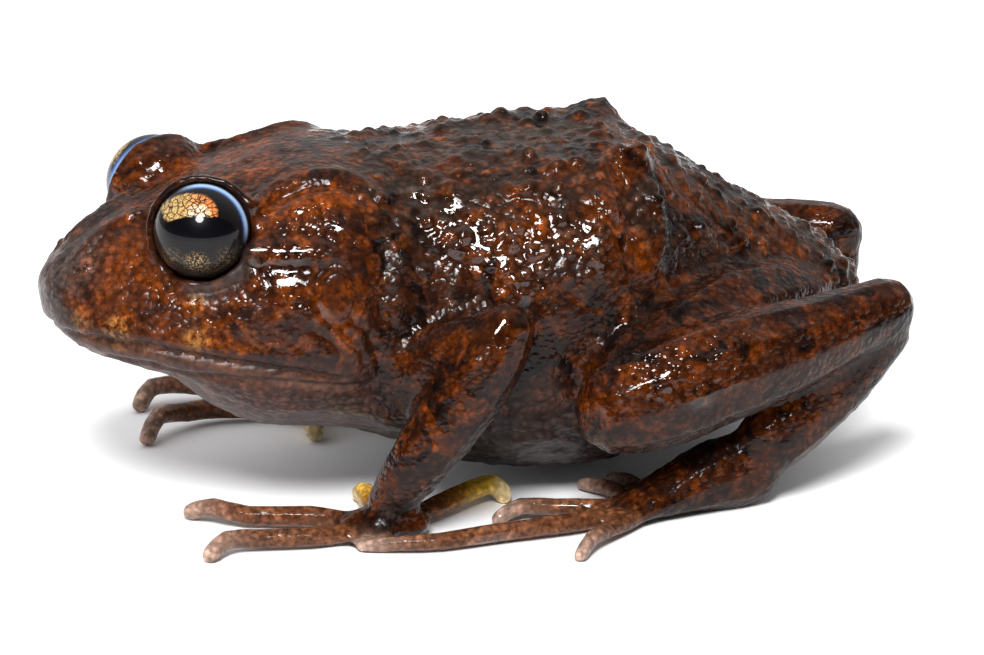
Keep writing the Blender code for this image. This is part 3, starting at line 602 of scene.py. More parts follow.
mouth_near = fold(places, on_head, MOUTH, 0.75)
belly = ramp(-normals[:, 2], -0.25, 0.55) * masks["torso"]
throat = ramp(-normals[:, 2], -0.1, 0.6) * masks["head"]
slick = patches_at(places, on_body, SLICK_BODY) + patches_at(places, on_head, SLICK_HEAD)
smooth_skin = np.clip(mouth_near + drum + slick + 0.7 * masks["digit"], 0.0, 1.0)
rough_back = np.clip(masks["torso"] * (1.0 - belly), 0.0, 1.0)
snout = spot(places, on_head(-5.6, 0.0, 12.0), 3.2)

tubercle = np.zeros(len(places))
for centre in [on_body(*place) for place in TUBERCLES]:
    seat = np.array(skin_tree.find_nearest(Vector(centre) * MM)[0]) / MM
    tubercle = np.maximum(tubercle, spot(places, seat, TUBERCLE_SIZE[0]))

warped = places + WARP * np.stack([cloud(places, 1.3, 900 + axis) - 0.5 for axis in range(3)], 1)
coarse = granules(warped, 1.00, 11, least=0.15, widest=0.55, share=0.70)
medium = granules(warped, 0.58, 31, least=0.30, widest=0.62, share=0.95)
cobbles = granules(warped, 0.75, 51, least=0.6, widest=0.8)
patches = ramp(cloud(places, 2.6, 71), 0.30, 0.70)
body_rough = rough_back * (0.45 + 0.55 * patches)
head_rough = masks["head"] * (0.40 + 0.50 * patches) * (1.0 - 0.6 * snout) * (1.0 - 0.5 * throat)
limb_rough = (masks["leg"] + masks["arm"]) * (0.30 + 0.45 * patches)
rough = np.clip(body_rough + head_rough + limb_rough, 0.0, 1.0) * (1.0 - smooth_skin)
height = TUBERCLE_SIZE[1] * tubercle
back = masks["torso"] * ramp(normals[:, 2], 0.0, 0.7)
height += rough * (0.13 * coarse * masks["torso"] + 0.06 * coarse + 0.085 * medium)
height += back * (0.20 * coarse + 0.10 * medium)
height += 0.13 * cobbles * belly + 0.04 * cobbles * throat
wet_spots = patches_at(places, on_head, DOTS_HEAD) + patches_at(places, on_body, DOTS_BODY)
beads = granules(warped, 0.40, 131, least=0.5, widest=0.62)
height += BEAD_HEIGHT * beads * np.clip(wet_spots, 0.0, 1.0) * (1.0 - smooth_skin)
height += 0.10 * (cloud(places, 1.6, 91) - 0.5) * (1.0 - 0.6 * smooth_skin)
places = places + normals * height[:, None]
places[:, 2] = np.maximum(places[:, 2], 0.0)
move_to(skin, places)
print("granules reach", round(height.max(), 2), "mm")

# %% [markdown]
# The sculpted mesh has more faces than it needs. The Decimate modifier merges faces where the form is
# plain and keeps them where it is detailed. It can leave a loose flat triangle behind. All that is linked
# to the foremost vertex, at the snout, is the skin, and whatever isn't linked to it is deleted.

# %% Reduce the mesh and put it in its place in the frame
MOST_TRIANGLES = 195000
triangles = sum(len(p.vertices) - 2 for p in skin.data.polygons)
modify(skin, "DECIMATE", ratio=min(1.0, MOST_TRIANGLES / triangles))
whole = len(skin.data.vertices)
foremost = int(np.argmin(places_of(skin)[:, 0]))
bpy.ops.object.mode_set(mode="EDIT")
bpy.ops.mesh.select_mode(type="VERT")
bpy.ops.mesh.select_all(action="DESELECT")
bpy.ops.object.mode_set(mode="OBJECT")
skin.data.vertices[foremost].select = True
bpy.ops.object.mode_set(mode="EDIT")
bpy.ops.mesh.select_linked()
bpy.ops.mesh.select_all(action="INVERT")
bpy.ops.mesh.delete(type="VERT")
bpy.ops.object.mode_set(mode="OBJECT")
print("stray vertices taken out:", whole - len(skin.data.vertices))
places = places_of(skin)
places[:, 2] = np.maximum(places[:, 2], 0.0)
move_to(skin, places)
only(skin)
bpy.ops.object.shade_smooth()
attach(skin, "root")
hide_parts(*flesh)
print("skin", triangles, "triangles before,", len(skin.data.polygons), "faces after")

# %% [markdown]
# ## Painting masks
#
# The material reads its large patches from numbers stored at the vertices. Some give a colour: orange,
# black, amber, gold, or the pale tips. Some give a part: head, back, underside, jaw, snout or digit.
# The others say how smooth a place is, how wet, and how high it lies on its granule. The colour
# uses the head and back masks for painted light and the granule height for painted shade.

# %% Store masks for the material
places = places_of(skin)
normals = normals_of(skin)
found, masks = part_masks(skin, 6)
low = places[:, 2]


def store(name, values):
    """Keep one number for every vertex under a name."""
    layer = skin.data.attributes.new(name, "FLOAT", "POINT")
    layer.data.foreach_set("value", np.clip(values, 0.0, 1.0).astype(np.float32))


BLACK_SPOTS = [
    (-0.8, -0.4, 17.4, 1.0), (5.3, 4.8, 16.5, 1.1), (8.6, 3.5, 17.2, 1.0), (11.5, 2.8, 17.6, 1.1),
    (13.95, -4.6, 17.2, 1.0), (14.7, -4.6, 16.1, 1.2), (19.0, -4.7, 11.3, 1.0), (16.3, -5.6, 12.9, 1.2),
    (6.4, -2.0, 17.1, 1.1), (3.0, -2.8, 16.8, 1.1), (0.8, -8.6, 10.2, 1.2), (2.4, -6.55, 14.6, 1.0),
    (3.3, -7.2, 13.7, 1.1), (11.0, -8.7, 11.1, 1.4), (8.9, -9.2, 9.4, 1.3), (10.0, -3.0, 17.4, 0.9),
    (6.0, -7.1, 14.8, 0.9), (5.4, -8.0, 13.2, 0.9), (9.1, -7.2, 15.1, 0.7), (10.7, -7.8, 14.2, 0.9),
    (14.4, -6.9, 13.2, 1.1), (17.9, -5.3, 11.4, 1.0), (2.6, -8.0, 11.5, 1.2), (16.2, -12.3, 9.3, 1.0),
    (20.0, -10.8, 9.3, 1.1),
]
ORANGE_BODY = [
    (4.6, -4.0, 16.6, 1.2), (7.0, -6.8, 15.0, 1.3), (9.2, -5.2, 16.6, 1.2), (12.4, -5.2, 16.6, 1.0),
    (6.0, -8.4, 12.6, 1.2), (12.8, -7.4, 13.0, 1.2), (16.0, -5.0, 14.2, 1.1), (13.3, 2.0, 17.0, 1.2),
    (10.6, -13.0, 7.4, 1.8), (15.2, -12.4, 9.4, 1.4), (3.8, -12.0, 10.1, 1.0), (2.7, -12.4, 7.7, 0.9),
    (1.7, -12.3, 5.7, 0.9), (22.0, -10.4, 9.6, 1.0), (7.8, -7.4, 14.8, 0.9), (11.5, -6.5, 15.6, 1.2),
    (12.4, -8.0, 12.8, 1.0), (14.3, -3.8, 16.2, 1.2), (16.8, -3.5, 14.6, 1.3), (19.4, -3.6, 12.4, 1.3),
    (22.0, -3.0, 11.0, 1.2),
]
AMBER = [
    (-5.6, -3.2, 10.3, 0.45), (-4.4, -4.9, 10.2, 0.60), (-0.9, -7.0, 10.1, 0.50), (-0.7, -6.4, 11.9, 0.35),
]
LID_BAG = [(-0.9, -5.9, 12.4), (0.2, -6.4, 12.5), (1.2, -6.6, 13.1), (2.0, -6.4, 14.0)]
ORANGE_HEAD = [
    (2.6, -5.6, 15.3, 0.8), (3.9, -5.3, 15.9, 0.9), (5.3, -5.5, 16.2, 1.1), (7.0, -5.8, 16.2, 1.1),
    (-3.6, -3.2, 13.0, 1.5), (-4.6, -3.6, 11.2, 1.2), (-0.66, -6.6, 11.7, 0.7), (-0.3, -4.6, 12.3, 0.8),
    (5.74, -8.76, 12.28, 1.2), (3.4, -7.6, 11.2, 1.3), (-2.2, -6.0, 10.6, 0.8), (0.8, -7.6, 10.0, 0.9),
    (3.6, 1.5, 17.2, 1.4), (1.0, -1.5, 16.6, 1.2), (-5.6, -3.2, 10.3, 0.6), (-4.0, -5.2, 10.3, 0.8),
    (-0.9, -7.0, 10.0, 0.7),
]
under = ramp(-normals[:, 2], -0.15, 0.65) * (masks["torso"] + masks["head"])
under += 0.7 * ramp(-normals[:, 2], 0.0, 0.7) * (masks["arm"] + masks["leg"] + masks["digit"])
store("under", under + 0.6 * ramp(-low, -6.5, -3.0) * masks["torso"])
store("orange", patches_at(places, on_body, ORANGE_BODY) + patches_at(places, on_head, ORANGE_HEAD))
lid = np.zeros(len(places))
for side, centre in EYES.items():
    out = np.array(eye_frame(side).col[2])
    away = places - centre
    forward = away @ out
    from_eye = np.linalg.norm(away, axis=1)
    lid = np.maximum(lid, ramp(-from_eye, -2.95, -2.62) * ramp(forward, -0.6, -0.1))
# Painted shade: the nostril pits go into the black mask at double strength, so the inside of each nostril
# is painted black.
pit = patches_at(places, on_head, [(*NOSTRIL, 0.26)])
store("black", 0.9 * patches_at(places, on_body, BLACK_SPOTS) + lid + 2.0 * pit)
mouth_near = fold(places, on_head, MOUTH, 0.9)
store("jaw", fold(places, on_head, mouth_at(-0.6), 0.55))
bag = fold(places, on_head, LID_BAG, 0.55)
store("snout", spot(places, on_head(-6.6, -0.6, 12.4), 2.4) + 0.7 * bag)
drum = patches_at(places, on_head, [(*DRUM, 1.2)])
slick = patches_at(places, on_body, SLICK_BODY) + patches_at(places, on_head, SLICK_HEAD)
store("smooth", mouth_near * 0.8 + drum + lid + bag + slick + 0.3 * masks["digit"])
store("dots", patches_at(places, on_head, DOTS_HEAD) + patches_at(places, on_body, DOTS_BODY))
store("amber", patches_at(places, on_head, AMBER))
# The head and back masks also set painted light: the colour paints these parts lighter.
store("head", masks["head"])
store("back", masks["torso"] * ramp(normals[:, 2], 0.1, 0.7))

TIP_REACH = 1.8
GOLD_REACH = 3.4
tip = np.zeros(len(places))
gold = np.zeros(len(places))
for index, name in enumerate(flesh):
    if not name.startswith(("finger", "toe")):
        continue
    kind, number, side = name.split("_")
    root = centre_of(("hand_" if kind == "finger" else "foot_") + side)
    points = np.array([v.co for v in nodes[name].data.vertices]) / MM
    end = points[np.argmax(np.linalg.norm(points - root, axis=1))]
    mine = relaxed(skin, (found == index).astype(float), 4)
    tip = np.maximum(tip, mine * spot(places, end, TIP_REACH))
    if kind == "finger" and number in "12":
        gold = np.maximum(gold, mine * spot(places, end, GOLD_REACH))
store("tip", tip)
store("digit", masks["digit"])
store("gold", gold)
# The height on each granule, which the colour uses for painted shade between the granules.
store("crest", granules(places, 0.58, 31, least=0.30, widest=0.62, share=0.95))
print("stored", sorted(a.name for a in skin.data.attributes if a.data_type == "FLOAT"))

# %% [markdown]
# ## The skin's material
#
# Two shader node groups hold the effects, so that they can be used again on another animal. The first
# mixes the colours from the masks and from noise, then multiplies them by painted light and shade: the
# head and the up-facing back lighter, the low places between granules darker. The second turns fine
# patterns into a height, which a Bump node turns into a normal. The material itself holds the Principled
# shader: a glossy surface under a thin clear coat, which is what wet skin is.


# %% Tools for node trees
def new_group(name, inputs, outputs):
    """Make a shader node group with float inputs and the given outputs."""
    tree = bpy.data.node_groups.new(name, "ShaderNodeTree")
    for label, value in inputs:
        socket = tree.interface.new_socket(label, in_out="INPUT", socket_type="NodeSocketFloat")
        socket.default_value = value
    for label, kind in outputs:
        tree.interface.new_socket(label, in_out="OUTPUT", socket_type=kind)
    return tree, tree.nodes.new("NodeGroupInput"), tree.nodes.new("NodeGroupOutput")


def link(tree, source, target):
    """Link a socket, or set a plain value."""
    if isinstance(source, bpy.types.NodeSocket):
        tree.links.new(source, target)
    else:
        target.default_value = source


def calc(tree, operation, *values, clamp=False):
    """Add a Math node and give its result."""
    node = tree.nodes.new("ShaderNodeMath")
    node.operation = operation
    node.use_clamp = clamp
    for value, socket in zip(values, node.inputs):
        link(tree, value, socket)
    return node.outputs[0]


def mix(tree, factor, first, second, blend="MIX"):
    """Add a colour Mix node and give its result."""
    node = tree.nodes.new("ShaderNodeMix")
    node.data_type = "RGBA"
    node.blend_type = blend
    link(tree, factor, node.inputs["Factor"])
    for value, socket in ((first, node.inputs[6]), (second, node.inputs[7])):
        link(tree, value if isinstance(value, bpy.types.NodeSocket) else (*value, 1.0), socket)
    return node.outputs[2]


def span(tree, value, low, high, to_low=0.0, to_high=1.0):
    """Add a smooth Map Range node and give its result."""
    node = tree.nodes.new("ShaderNodeMapRange")
    node.interpolation_type = "SMOOTHSTEP"
    for source, name in ((value, "Value"), (low, "From Min"), (high, "From Max"),
                         (to_low, "To Min"), (to_high, "To Max")):
        link(tree, source, node.inputs[name])
    return node.outputs["Result"]


def noise(tree, vector, size, detail=3.0, roughness=0.55, distortion=0.0):
    """Add a Noise node whose patches measure about the given millimetres."""
    node = tree.nodes.new("ShaderNodeTexNoise")
    link(tree, vector, node.inputs["Vector"])
    for name, value in (("Scale", 1.0 / (size * MM)), ("Detail", detail),
                        ("Roughness", roughness), ("Distortion", distortion)):
        node.inputs[name].default_value = value
    return node.outputs["Fac"]


def cells(tree, vector, size):
    """Add a Voronoi node whose cells measure the given millimetres; give the distance."""
    node = tree.nodes.new("ShaderNodeTexVoronoi")
    link(tree, vector, node.inputs["Vector"])
    node.inputs["Scale"].default_value = 1.0 / (size * MM)
    return node.outputs["Distance"]


def stored(tree, name):
    """Read a number stored at the vertices."""
    node = tree.nodes.new("ShaderNodeAttribute")
    node.attribute_name = name
    return node.outputs["Fac"]


def object_place(tree):
    """Give the place on the object, in metres."""
    return tree.nodes.new("ShaderNodeTexCoord").outputs["Object"]


# %% [markdown]
# The colours come from a wet frog in bright light: a deep brown, an orange brown, near black, a grey
# for the underside, and the pale gold and grey of the fingertips, the pale gold partly painted light.

# %% Colours of the skin
BROWN = (0.070, 0.017, 0.005)
DEEP = (0.022, 0.007, 0.004)
ORANGE = (0.180, 0.037, 0.004)
BLACK = (0.006, 0.004, 0.004)
BACK = (0.070, 0.036, 0.022)
GREY = (0.062, 0.048, 0.044)
THROAT = (0.078, 0.040, 0.034)
DIGIT = (0.210, 0.078, 0.034)
JAW = (0.185, 0.080, 0.048)
SNOUT = (0.085, 0.056, 0.048)
PALE = (0.600, 0.400, 0.310)
# The golden fingers' own gold; the bend and the near-white tip are also brightened as painted light.
GOLD = (0.950, 0.560, 0.060)
GOLD_ROOT = (0.320, 0.120, 0.015)
GOLD_TIP_WITH_PAINTED_LIGHT = (0.950, 0.860, 0.640)
AMBER_GOLD = (0.460, 0.220, 0.060)
SPECK = (0.300, 0.120, 0.030)
COLOUR_MASKS = [
    "under", "black", "orange", "jaw", "snout", "head", "back", "digit", "tip", "gold", "amber", "crest",
]

# The grain input is the fine relief height, which paints shade into the low places between granules.
tree, given, result = new_group(
    "skin_colours", [(name, 0) for name in COLOUR_MASKS] + [("grain", 1)], [("Color", "NodeSocketColor")])
mask = given.outputs


def times(first, second, **settings):
    """Multiply two values in the tree at hand."""
    return calc(tree, "MULTIPLY", first, second, **settings)


def less(name, share):
    """Give 1 where a mask is 0, and less by a share of it elsewhere."""
    return calc(tree, "SUBTRACT", 1.0, times(mask[name], share))


where = object_place(tree)
broad = noise(tree, where, 3.4, 4.0, 0.6, 0.6)
middle = noise(tree, where, 1.3, 4.0, 0.6, 0.8)
fine = noise(tree, where, 0.30, 3.0, 0.6)
speck = cells(tree, where, 0.34)
colour = mix(tree, span(tree, broad, 0.40, 0.62), DEEP, BROWN)
colour = mix(tree, times(mask["back"], 0.65), colour, BACK)
patch = calc(tree, "ADD", times(mask["orange"], 0.62), span(tree, middle, 0.42, 0.66, -0.12, 0.60))
patch = times(patch, span(tree, fine, 0.30, 0.62, 0.55, 1.15), clamp=True)
colour = mix(tree, patch, colour, ORANGE)
dot = times(span(tree, speck, 0.30, 0.12), span(tree, middle, 0.40, 0.60, 0.0, 0.32))
colour = mix(tree, dot, colour, SPECK)
colour = mix(tree, times(mask["snout"], span(tree, fine, 0.3, 0.6, 0.5, 1.0)), colour, SNOUT)
colour = mix(tree, times(mask["jaw"], span(tree, middle, 0.35, 0.6, 0.35, 0.95)), colour, JAW)
smudge = noise(tree, where, 2.6, 3.0, 0.5, 1.0)
blot = calc(tree, "ADD", mask["black"], span(tree, smudge, 0.48, 0.68, -0.35, 0.95))
blot = calc(tree, "ADD", blot, times(calc(tree, "SUBTRACT", fine, 0.5), 0.9))
blot = times(times(span(tree, blot, 0.30, 0.90), less("head", 0.25)), less("under", 0.6))
colour = mix(tree, times(blot, 0.85), colour, BLACK)
grey = times(mask["under"], span(tree, fine, 0.35, 0.62, 0.55, 1.0))
colour = mix(tree, times(grey, 0.85), colour, mix(tree, mask["head"], GREY, THROAT))
colour = mix(tree, times(mask["digit"], span(tree, fine, 0.30, 0.65, 0.45, 1.0)), colour, DIGIT)
colour = mix(tree, times(mask["tip"], 0.85), colour, PALE)
amber = times(mask["amber"], span(tree, fine, 0.40, 0.62))
colour = mix(tree, times(amber, 0.85), colour, AMBER_GOLD)
# The golden fingers keep their own gold from the root; the bright bend and near-white tip are partly
# painted light.
golden = mix(tree, span(tree, mask["gold"], 0.25, 0.75), GOLD_ROOT, GOLD)
golden = mix(tree, span(tree, mask["gold"], 0.80, 1.0, 0.0, 0.6), golden, GOLD_TIP_WITH_PAINTED_LIGHT)
colour = mix(tree, span(tree, mask["gold"], 0.0, 0.30), colour, golden)
# Painted light: the colour is multiplied by a brightness that paints the head and the up-facing back
# lighter and the flanks, limbs and underside darker; the digits stay at full brightness.
painted_light = calc(tree, "ADD", 0.60, times(mask["head"], 0.38))
painted_light = calc(tree, "ADD", painted_light, times(mask["back"], 0.26))
painted_light = calc(tree, "MAXIMUM", painted_light, mask["digit"])
# Painted shade: each granule is painted darker in the low places around it and lighter on its top, deeper
# on the back; the fine noise only varies the tone at random.
painted_valley_shade = calc(tree, "SUBTRACT", 0.74, times(mask["back"], 0.30))
shade = times(painted_light, span(tree, fine, 0.25, 0.75, 0.66, 1.30))
shade = times(shade, span(tree, mask["crest"], 0.0, 0.6, painted_valley_shade, 1.20))
shade = times(shade, span(tree, mask["grain"], 0.15, 0.80, 0.62, 1.22))
link(tree, mix(tree, 1.0, colour, shade, "MULTIPLY"), result.inputs["Color"])
colours = tree

# %% [markdown]
# The relief group makes granules of about a third of a millimetre, and wrinkles three times as wide. It
# fades where the skin is smooth, and gives beside the height how wet each place is.

# %% Fine relief
tree, given, result = new_group(
    "skin_relief", [("smooth", 0), ("dots", 0)],
    [("Height", "NodeSocketFloat"), ("Wet", "NodeSocketFloat")])
where = object_place(tree)
uneven = tree.nodes.new("ShaderNodeVectorMath")
uneven.operation = "MULTIPLY_ADD"
stir = tree.nodes.new("ShaderNodeTexNoise")
stir.inputs["Scale"].default_value = 1.0 / (1.2 * MM)
link(tree, where, stir.inputs["Vector"])
link(tree, stir.outputs["Color"], uneven.inputs[0])
uneven.inputs[1].default_value = (0.5 * MM,) * 3
link(tree, where, uneven.inputs[2])
grains = cells(tree, uneven.outputs[0], 0.36)
grains = calc(tree, "SUBTRACT", 1.0, times(times(grains, grains), 2.6), clamp=True)
wrinkle = noise(tree, where, 0.9, 2.0, 0.5, 0.8)
wet = span(tree, noise(tree, where, 1.3, 3.0, 0.6, 0.4), 0.42, 0.62, 0.0, 0.75)
wet = calc(tree, "ADD", wet, span(tree, given.outputs["dots"], 0.15, 0.70), clamp=True)
total = calc(tree, "ADD", times(grains, 0.75), times(wrinkle, 0.5))
calm = calc(tree, "SUBTRACT", 1.0, times(given.outputs["smooth"], 0.92))
calm = times(calm, span(tree, given.outputs["dots"], 0.0, 0.8, 0.8, 1.15))
link(tree, times(total, calm), result.inputs["Height"])
link(tree, wet, result.inputs["Wet"])
relief = tree

# %% [markdown]
# The material puts the groups together. Base colour, roughness, normal and the weight of the clear coat
# vary; every other setting is one value for the whole skin. The coat is strong only on the beads.

# %% Skin material
DRY_ROUGHNESS = 0.25
WET_ROUGHNESS = 0.08
DULL_ROUGHNESS = 0.22            # added on snout, jaw and underside
COAT_ROUGHNESS = 0.07
COAT_MOST = 0.75
BUMP_HEIGHT = 0.045


def use_group(tree, group, names):
    """Add a group node and feed each of its inputs from the vertices."""
    node = tree.nodes.new("ShaderNodeGroup")
    node.node_tree = group
    for name in names:
        link(tree, stored(tree, name), node.inputs[name])
    return node


material = bpy.data.materials.new("frog_skin")
material.use_nodes = True
tree = material.node_tree
shader = tree.nodes["Principled BSDF"]
paint = use_group(tree, colours, COLOUR_MASKS)
grain = use_group(tree, relief, ["smooth", "dots"])
# The relief height also goes to the colour, where it paints shade into the low places between the granules.
link(tree, grain.outputs["Height"], paint.inputs["grain"])
bump = tree.nodes.new("ShaderNodeBump")
bump.inputs["Strength"].default_value = 1.0
bump.inputs["Distance"].default_value = BUMP_HEIGHT * MM
link(tree, grain.outputs["Height"], bump.inputs["Height"])
link(tree, bump.outputs["Normal"], shader.inputs["Normal"])
link(tree, paint.outputs["Color"], shader.inputs["Base Color"])
sheen = span(tree, grain.outputs["Wet"], 0.0, 1.0, DRY_ROUGHNESS, WET_ROUGHNESS)
dull = calc(tree, "MAXIMUM", stored(tree, "snout"), stored(tree, "under"))
dull = calc(tree, "MAXIMUM", dull, stored(tree, "jaw"))
sheen = calc(tree, "ADD", sheen, times(dull, DULL_ROUGHNESS))
link(tree, sheen, shader.inputs["Roughness"])
link(tree, span(tree, stored(tree, "dots"), 0.1, 0.8, 0.0, COAT_MOST), shader.inputs["Coat Weight"])
for name, value in (("IOR", 1.30), ("Coat Roughness", COAT_ROUGHNESS), ("Coat IOR", 1.50)):
    shader.inputs[name].default_value = value
skin.data.materials.clear()
skin.data.materials.append(material)
print("nodes in the material", len(tree.nodes), "and in its groups", len(colours.nodes) + len(relief.nodes))

# %% [markdown]
# ## The eyes
#
# Each eye is a smooth ball with a painted iris under a clear coat. A Mapping node turns the object's
# coordinates into the eye's own: x runs across the eye, y up, and z out, with the radius as 1. The
# pupil is a dark lying oval. Gold with black cracks lies above it, with a painted spot of light in it,
# and scattered gold flecks below. A thin blue arc at the upper rear edge is a painted reflection of
# bright surroundings, along the rim of the eyeball where it passes under the lid.


# %% Make the eyes
IRIS_BLACK = (0.006, 0.005, 0.005)
PUPIL_BLACK = (0.002, 0.002, 0.003)
IRIS_GOLD = (0.44, 0.31, 0.12)
IRIS_COPPER = (0.70, 0.19, 0.05)
IRIS_PAINTED_LIGHT = (1.0, 0.72, 0.48)
IRIS_BROWN = (0.20, 0.10, 0.03)
FLECK = (0.40, 0.24, 0.09)
# Painted reflection: these two blues and the arcs below paint bright surroundings mirrored along the upper
# rim of each eye.
SKY_REFLECTION_BLUE = (0.03, 0.09, 0.30)
SKY_REFLECTION_PALE = (0.30, 0.45, 0.66)
FLECKS = (    # centre, half size and strength
    ((-0.06, -0.62), (0.34, 0.24), 0.75), ((-0.60, -0.54), (0.34, 0.26), 0.22),
    ((0.56, -0.52), (0.30, 0.28), 0.20), ((0.0, -0.72), (0.75, 0.22), 0.15),
)
SKY_REFLECTION_ARCS = {    # lean to the rear, inner and outer edge, and how far round it starts
    "left": (0.60, 0.85, 0.975, 0.30),
    "right": (-0.60, 0.93, 1.10, -0.20),
}


def eye_material(side):
    """Paint one eye."""
    material = bpy.data.materials.new("frog_eye_" + side)
    material.use_nodes = True
    tree = material.node_tree
    shader = tree.nodes["Principled BSDF"]
    mapping = tree.nodes.new("ShaderNodeMapping")
    mapping.vector_type = "TEXTURE"
    mapping.inputs["Location"].default_value = Vector(EYES[side]) * MM
    mapping.inputs["Rotation"].default_value = eye_frame(side).to_euler()
    mapping.inputs["Scale"].default_value = (EYE_RADIUS * MM,) * 3
    link(tree, object_place(tree), mapping.inputs["Vector"])
    local = mapping.outputs["Vector"]
    parts = tree.nodes.new("ShaderNodeSeparateXYZ")
    link(tree, local, parts.inputs[0])
    x, y = parts.outputs["X"], parts.outputs["Y"]
    x = calc(tree, "MULTIPLY", x, -SIGN[side])
    wobble = tree.nodes.new("ShaderNodeTexNoise")
    link(tree, local, wobble.inputs["Vector"])
    wobble.inputs["Scale"].default_value = 5.0
    shake = calc(tree, "MULTIPLY", calc(tree, "SUBTRACT", wobble.outputs["Fac"], 0.5), 0.35)

    def oval(centre, half):
        """Give 1 at the edge of an oval, less inside it."""
        u = calc(tree, "DIVIDE", calc(tree, "SUBTRACT", x, centre[0]), half[0])
        v = calc(tree, "DIVIDE", calc(tree, "SUBTRACT", y, centre[1]), half[1])
        square = calc(tree, "ADD", calc(tree, "MULTIPLY", u, u), calc(tree, "MULTIPLY", v, v))
        return calc(tree, "ADD", calc(tree, "POWER", square, 0.5), shake)

    cracks = tree.nodes.new("ShaderNodeTexVoronoi")
    cracks.feature = "DISTANCE_TO_EDGE"
    link(tree, local, cracks.inputs["Vector"])
    cracks.inputs["Scale"].default_value = 7.5
    net = span(tree, cracks.outputs["Distance"], 0.015, 0.11)
    grain = tree.nodes.new("ShaderNodeTexNoise")
    link(tree, local, grain.inputs["Vector"])
    grain.inputs["Scale"].default_value = 24.0
    gold_part = calc(tree, "MULTIPLY", span(tree, oval((-0.22, 0.42), (0.62, 0.36)), 1.02, 0.86), net)
    redder = span(tree, x, -0.45, 0.20)
    gold = mix(tree, redder, IRIS_GOLD, IRIS_COPPER)
    # Painted light: a pale spot where the lamp's light falls through the cornea onto the gold.
    gold = mix(tree, span(tree, oval((-0.02, 0.34), (0.30, 0.22)), 1.1, 0.5), gold, IRIS_PAINTED_LIGHT)
    gold = mix(tree, span(tree, grain.outputs["Fac"], 0.36, 0.58), IRIS_BROWN, gold)
    colour = mix(tree, gold_part, IRIS_BLACK, gold)
    flecks = span(tree, grain.outputs["Fac"], 0.50, 0.60)
    for centre, half, most in FLECKS:
        part = calc(tree, "MULTIPLY", span(tree, oval(centre, half), 1.0, 0.2, 0.0, most), flecks)
        colour = mix(tree, part, colour, FLECK)
    pupil = span(tree, oval((0.0, 0.04), (0.76, 0.27)), 1.02, 0.94)
    colour = mix(tree, pupil, colour, PUPIL_BLACK)
    square = calc(tree, "ADD", calc(tree, "MULTIPLY", x, x), calc(tree, "MULTIPLY", y, y))
    rim = calc(tree, "POWER", square, 0.5)
    # Painted reflection of bright surroundings: a blue arc near the rim, paler at its inner edge.
    lean, inner, outer, least = SKY_REFLECTION_ARCS[side]
    arc = calc(tree, "MULTIPLY", span(tree, rim, inner, inner + 0.06), span(tree, rim, outer, outer - 0.03))
    toward = calc(tree, "ADD", calc(tree, "MULTIPLY", x, lean), calc(tree, "MULTIPLY", y, 0.80))
    arc = calc(tree, "MULTIPLY", arc, span(tree, toward, least, least + 0.45))
    sky = mix(tree, span(tree, rim, inner + 0.02, inner + 0.09), SKY_REFLECTION_BLUE, SKY_REFLECTION_PALE)
    colour = mix(tree, arc, colour, sky)
    link(tree, colour, shader.inputs["Base Color"])
    for name, value in (("Roughness", 0.35), ("Specular IOR Level", 0.05), ("Coat Weight", 0.60),
                        ("Coat Roughness", 0.012), ("Coat IOR", 1.38)):
        shader.inputs[name].default_value = value
    return material


for side, centre in EYES.items():
    bpy.ops.mesh.primitive_uv_sphere_add(segments=96, ring_count=64, radius=EYE_RADIUS * MM)
    eye = bpy.context.object
    eye.name = side + "_eye"
    eye.data.transform(Matrix.Translation(Vector(centre) * MM) @ eye_frame(side).to_4x4())
    bpy.ops.object.shade_smooth()
    eye.data.materials.append(eye_material(side))
    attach(eye, "root")
    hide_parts("eye_" + side)
    print(eye.name, len(eye.data.polygons), "faces")

# %% [markdown]
# ## Floor and light
#
# The frog sits on a plain white sheet. One round lamp high on the camera's side makes the bright dots
# on the wet granules and the soft shadow behind the animal. The surroundings are white to the camera.
# To the skin they are brighter above and on the far side and dark on the near side, once for the soft
# light that falls on it and once for what it mirrors, so that the skin keeps its depth.

# %% Stage, lamp and surroundings
FLOOR_SIZE = 6.0
FLOOR_DROP = 0.02       # millimetres under the frog, so that the two don't lie in one plane
PAPER = (0.90, 0.90, 0.91)
SHEEN_WAY = (0.25, 0.80, 0.50)
FILL_WAY = (-0.60, 0.50, 0.62)
LAMP_HEIGHT = math.radians(46)
LAMP_TURN = math.radians(-18)
LAMP_SPREAD = math.radians(18)
LAMP_STRENGTH = 4.3
FILL_BRIGHT = 1.25
FILL_DARK = 0.05
BACK_SHEEN = 0.62
FRONT_SHEEN = 0.0

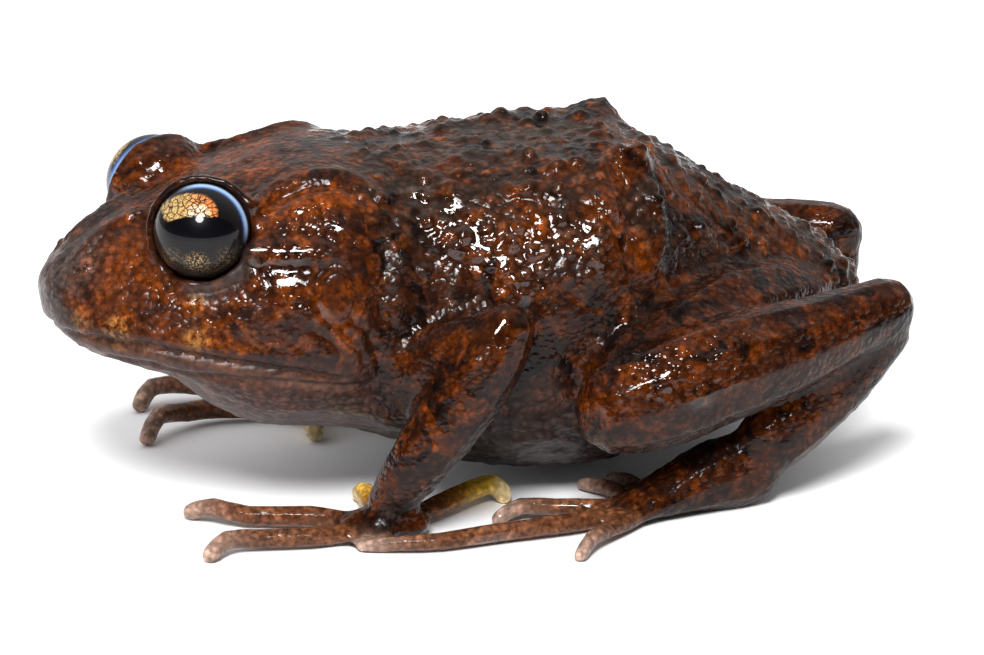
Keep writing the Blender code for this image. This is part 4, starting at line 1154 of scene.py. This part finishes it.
bpy.ops.mesh.primitive_plane_add(size=FLOOR_SIZE, location=(0.0, 0.0, -FLOOR_DROP * MM))
floor = bpy.context.object
floor.name = "floor"
paper = bpy.data.materials.new("white_paper")
paper.use_nodes = True
paper_shader = paper.node_tree.nodes["Principled BSDF"]
paper_shader.inputs["Base Color"].default_value = (*PAPER, 1.0)
paper_shader.inputs["Roughness"].default_value = 0.7
paper_shader.inputs["Specular IOR Level"].default_value = 0.2
floor.data.materials.append(paper)

bpy.ops.object.light_add(type="SUN")
lamp = bpy.context.object
lamp.name = "lamp"
lamp.data.energy = LAMP_STRENGTH
lamp.data.angle = LAMP_SPREAD
low = math.cos(LAMP_HEIGHT)
toward = Vector((math.sin(LAMP_TURN) * low, -math.cos(LAMP_TURN) * low, math.sin(LAMP_HEIGHT)))
lamp.rotation_euler = toward.to_track_quat("Z", "Y").to_euler()

world = bpy.data.worlds.new("surroundings")
scene.world = world
world.use_nodes = True
tree = world.node_tree
background = tree.nodes["Background"]
direction = tree.nodes.new("ShaderNodeTexCoord").outputs["Generated"]


def toward_glow(way, low, high, to_low, to_high):
    """Give a brightness that changes from behind a direction to the direction itself."""
    dot = tree.nodes.new("ShaderNodeVectorMath")
    dot.operation = "DOT_PRODUCT"
    link(tree, direction, dot.inputs[0])
    dot.inputs[1].default_value = Vector(way).normalized()
    return span(tree, dot.outputs["Value"], low, high, to_low, to_high)


glow = toward_glow(SHEEN_WAY, 0.10, 0.95, FRONT_SHEEN, BACK_SHEEN)
soft = toward_glow(FILL_WAY, -0.60, 0.80, FILL_DARK, FILL_BRIGHT)
rays = tree.nodes.new("ShaderNodeLightPath")
fill = mix(tree, rays.outputs["Is Glossy Ray"], soft, glow)
link(tree, mix(tree, rays.outputs["Is Camera Ray"], fill, (1.0, 1.0, 1.0)), background.inputs["Color"])
scene.view_settings.view_transform = "Standard"
print("lamp", LAMP_STRENGTH, "fill", FILL_DARK, "to", FILL_BRIGHT, "sheen", FRONT_SHEEN, "to", BACK_SHEEN)
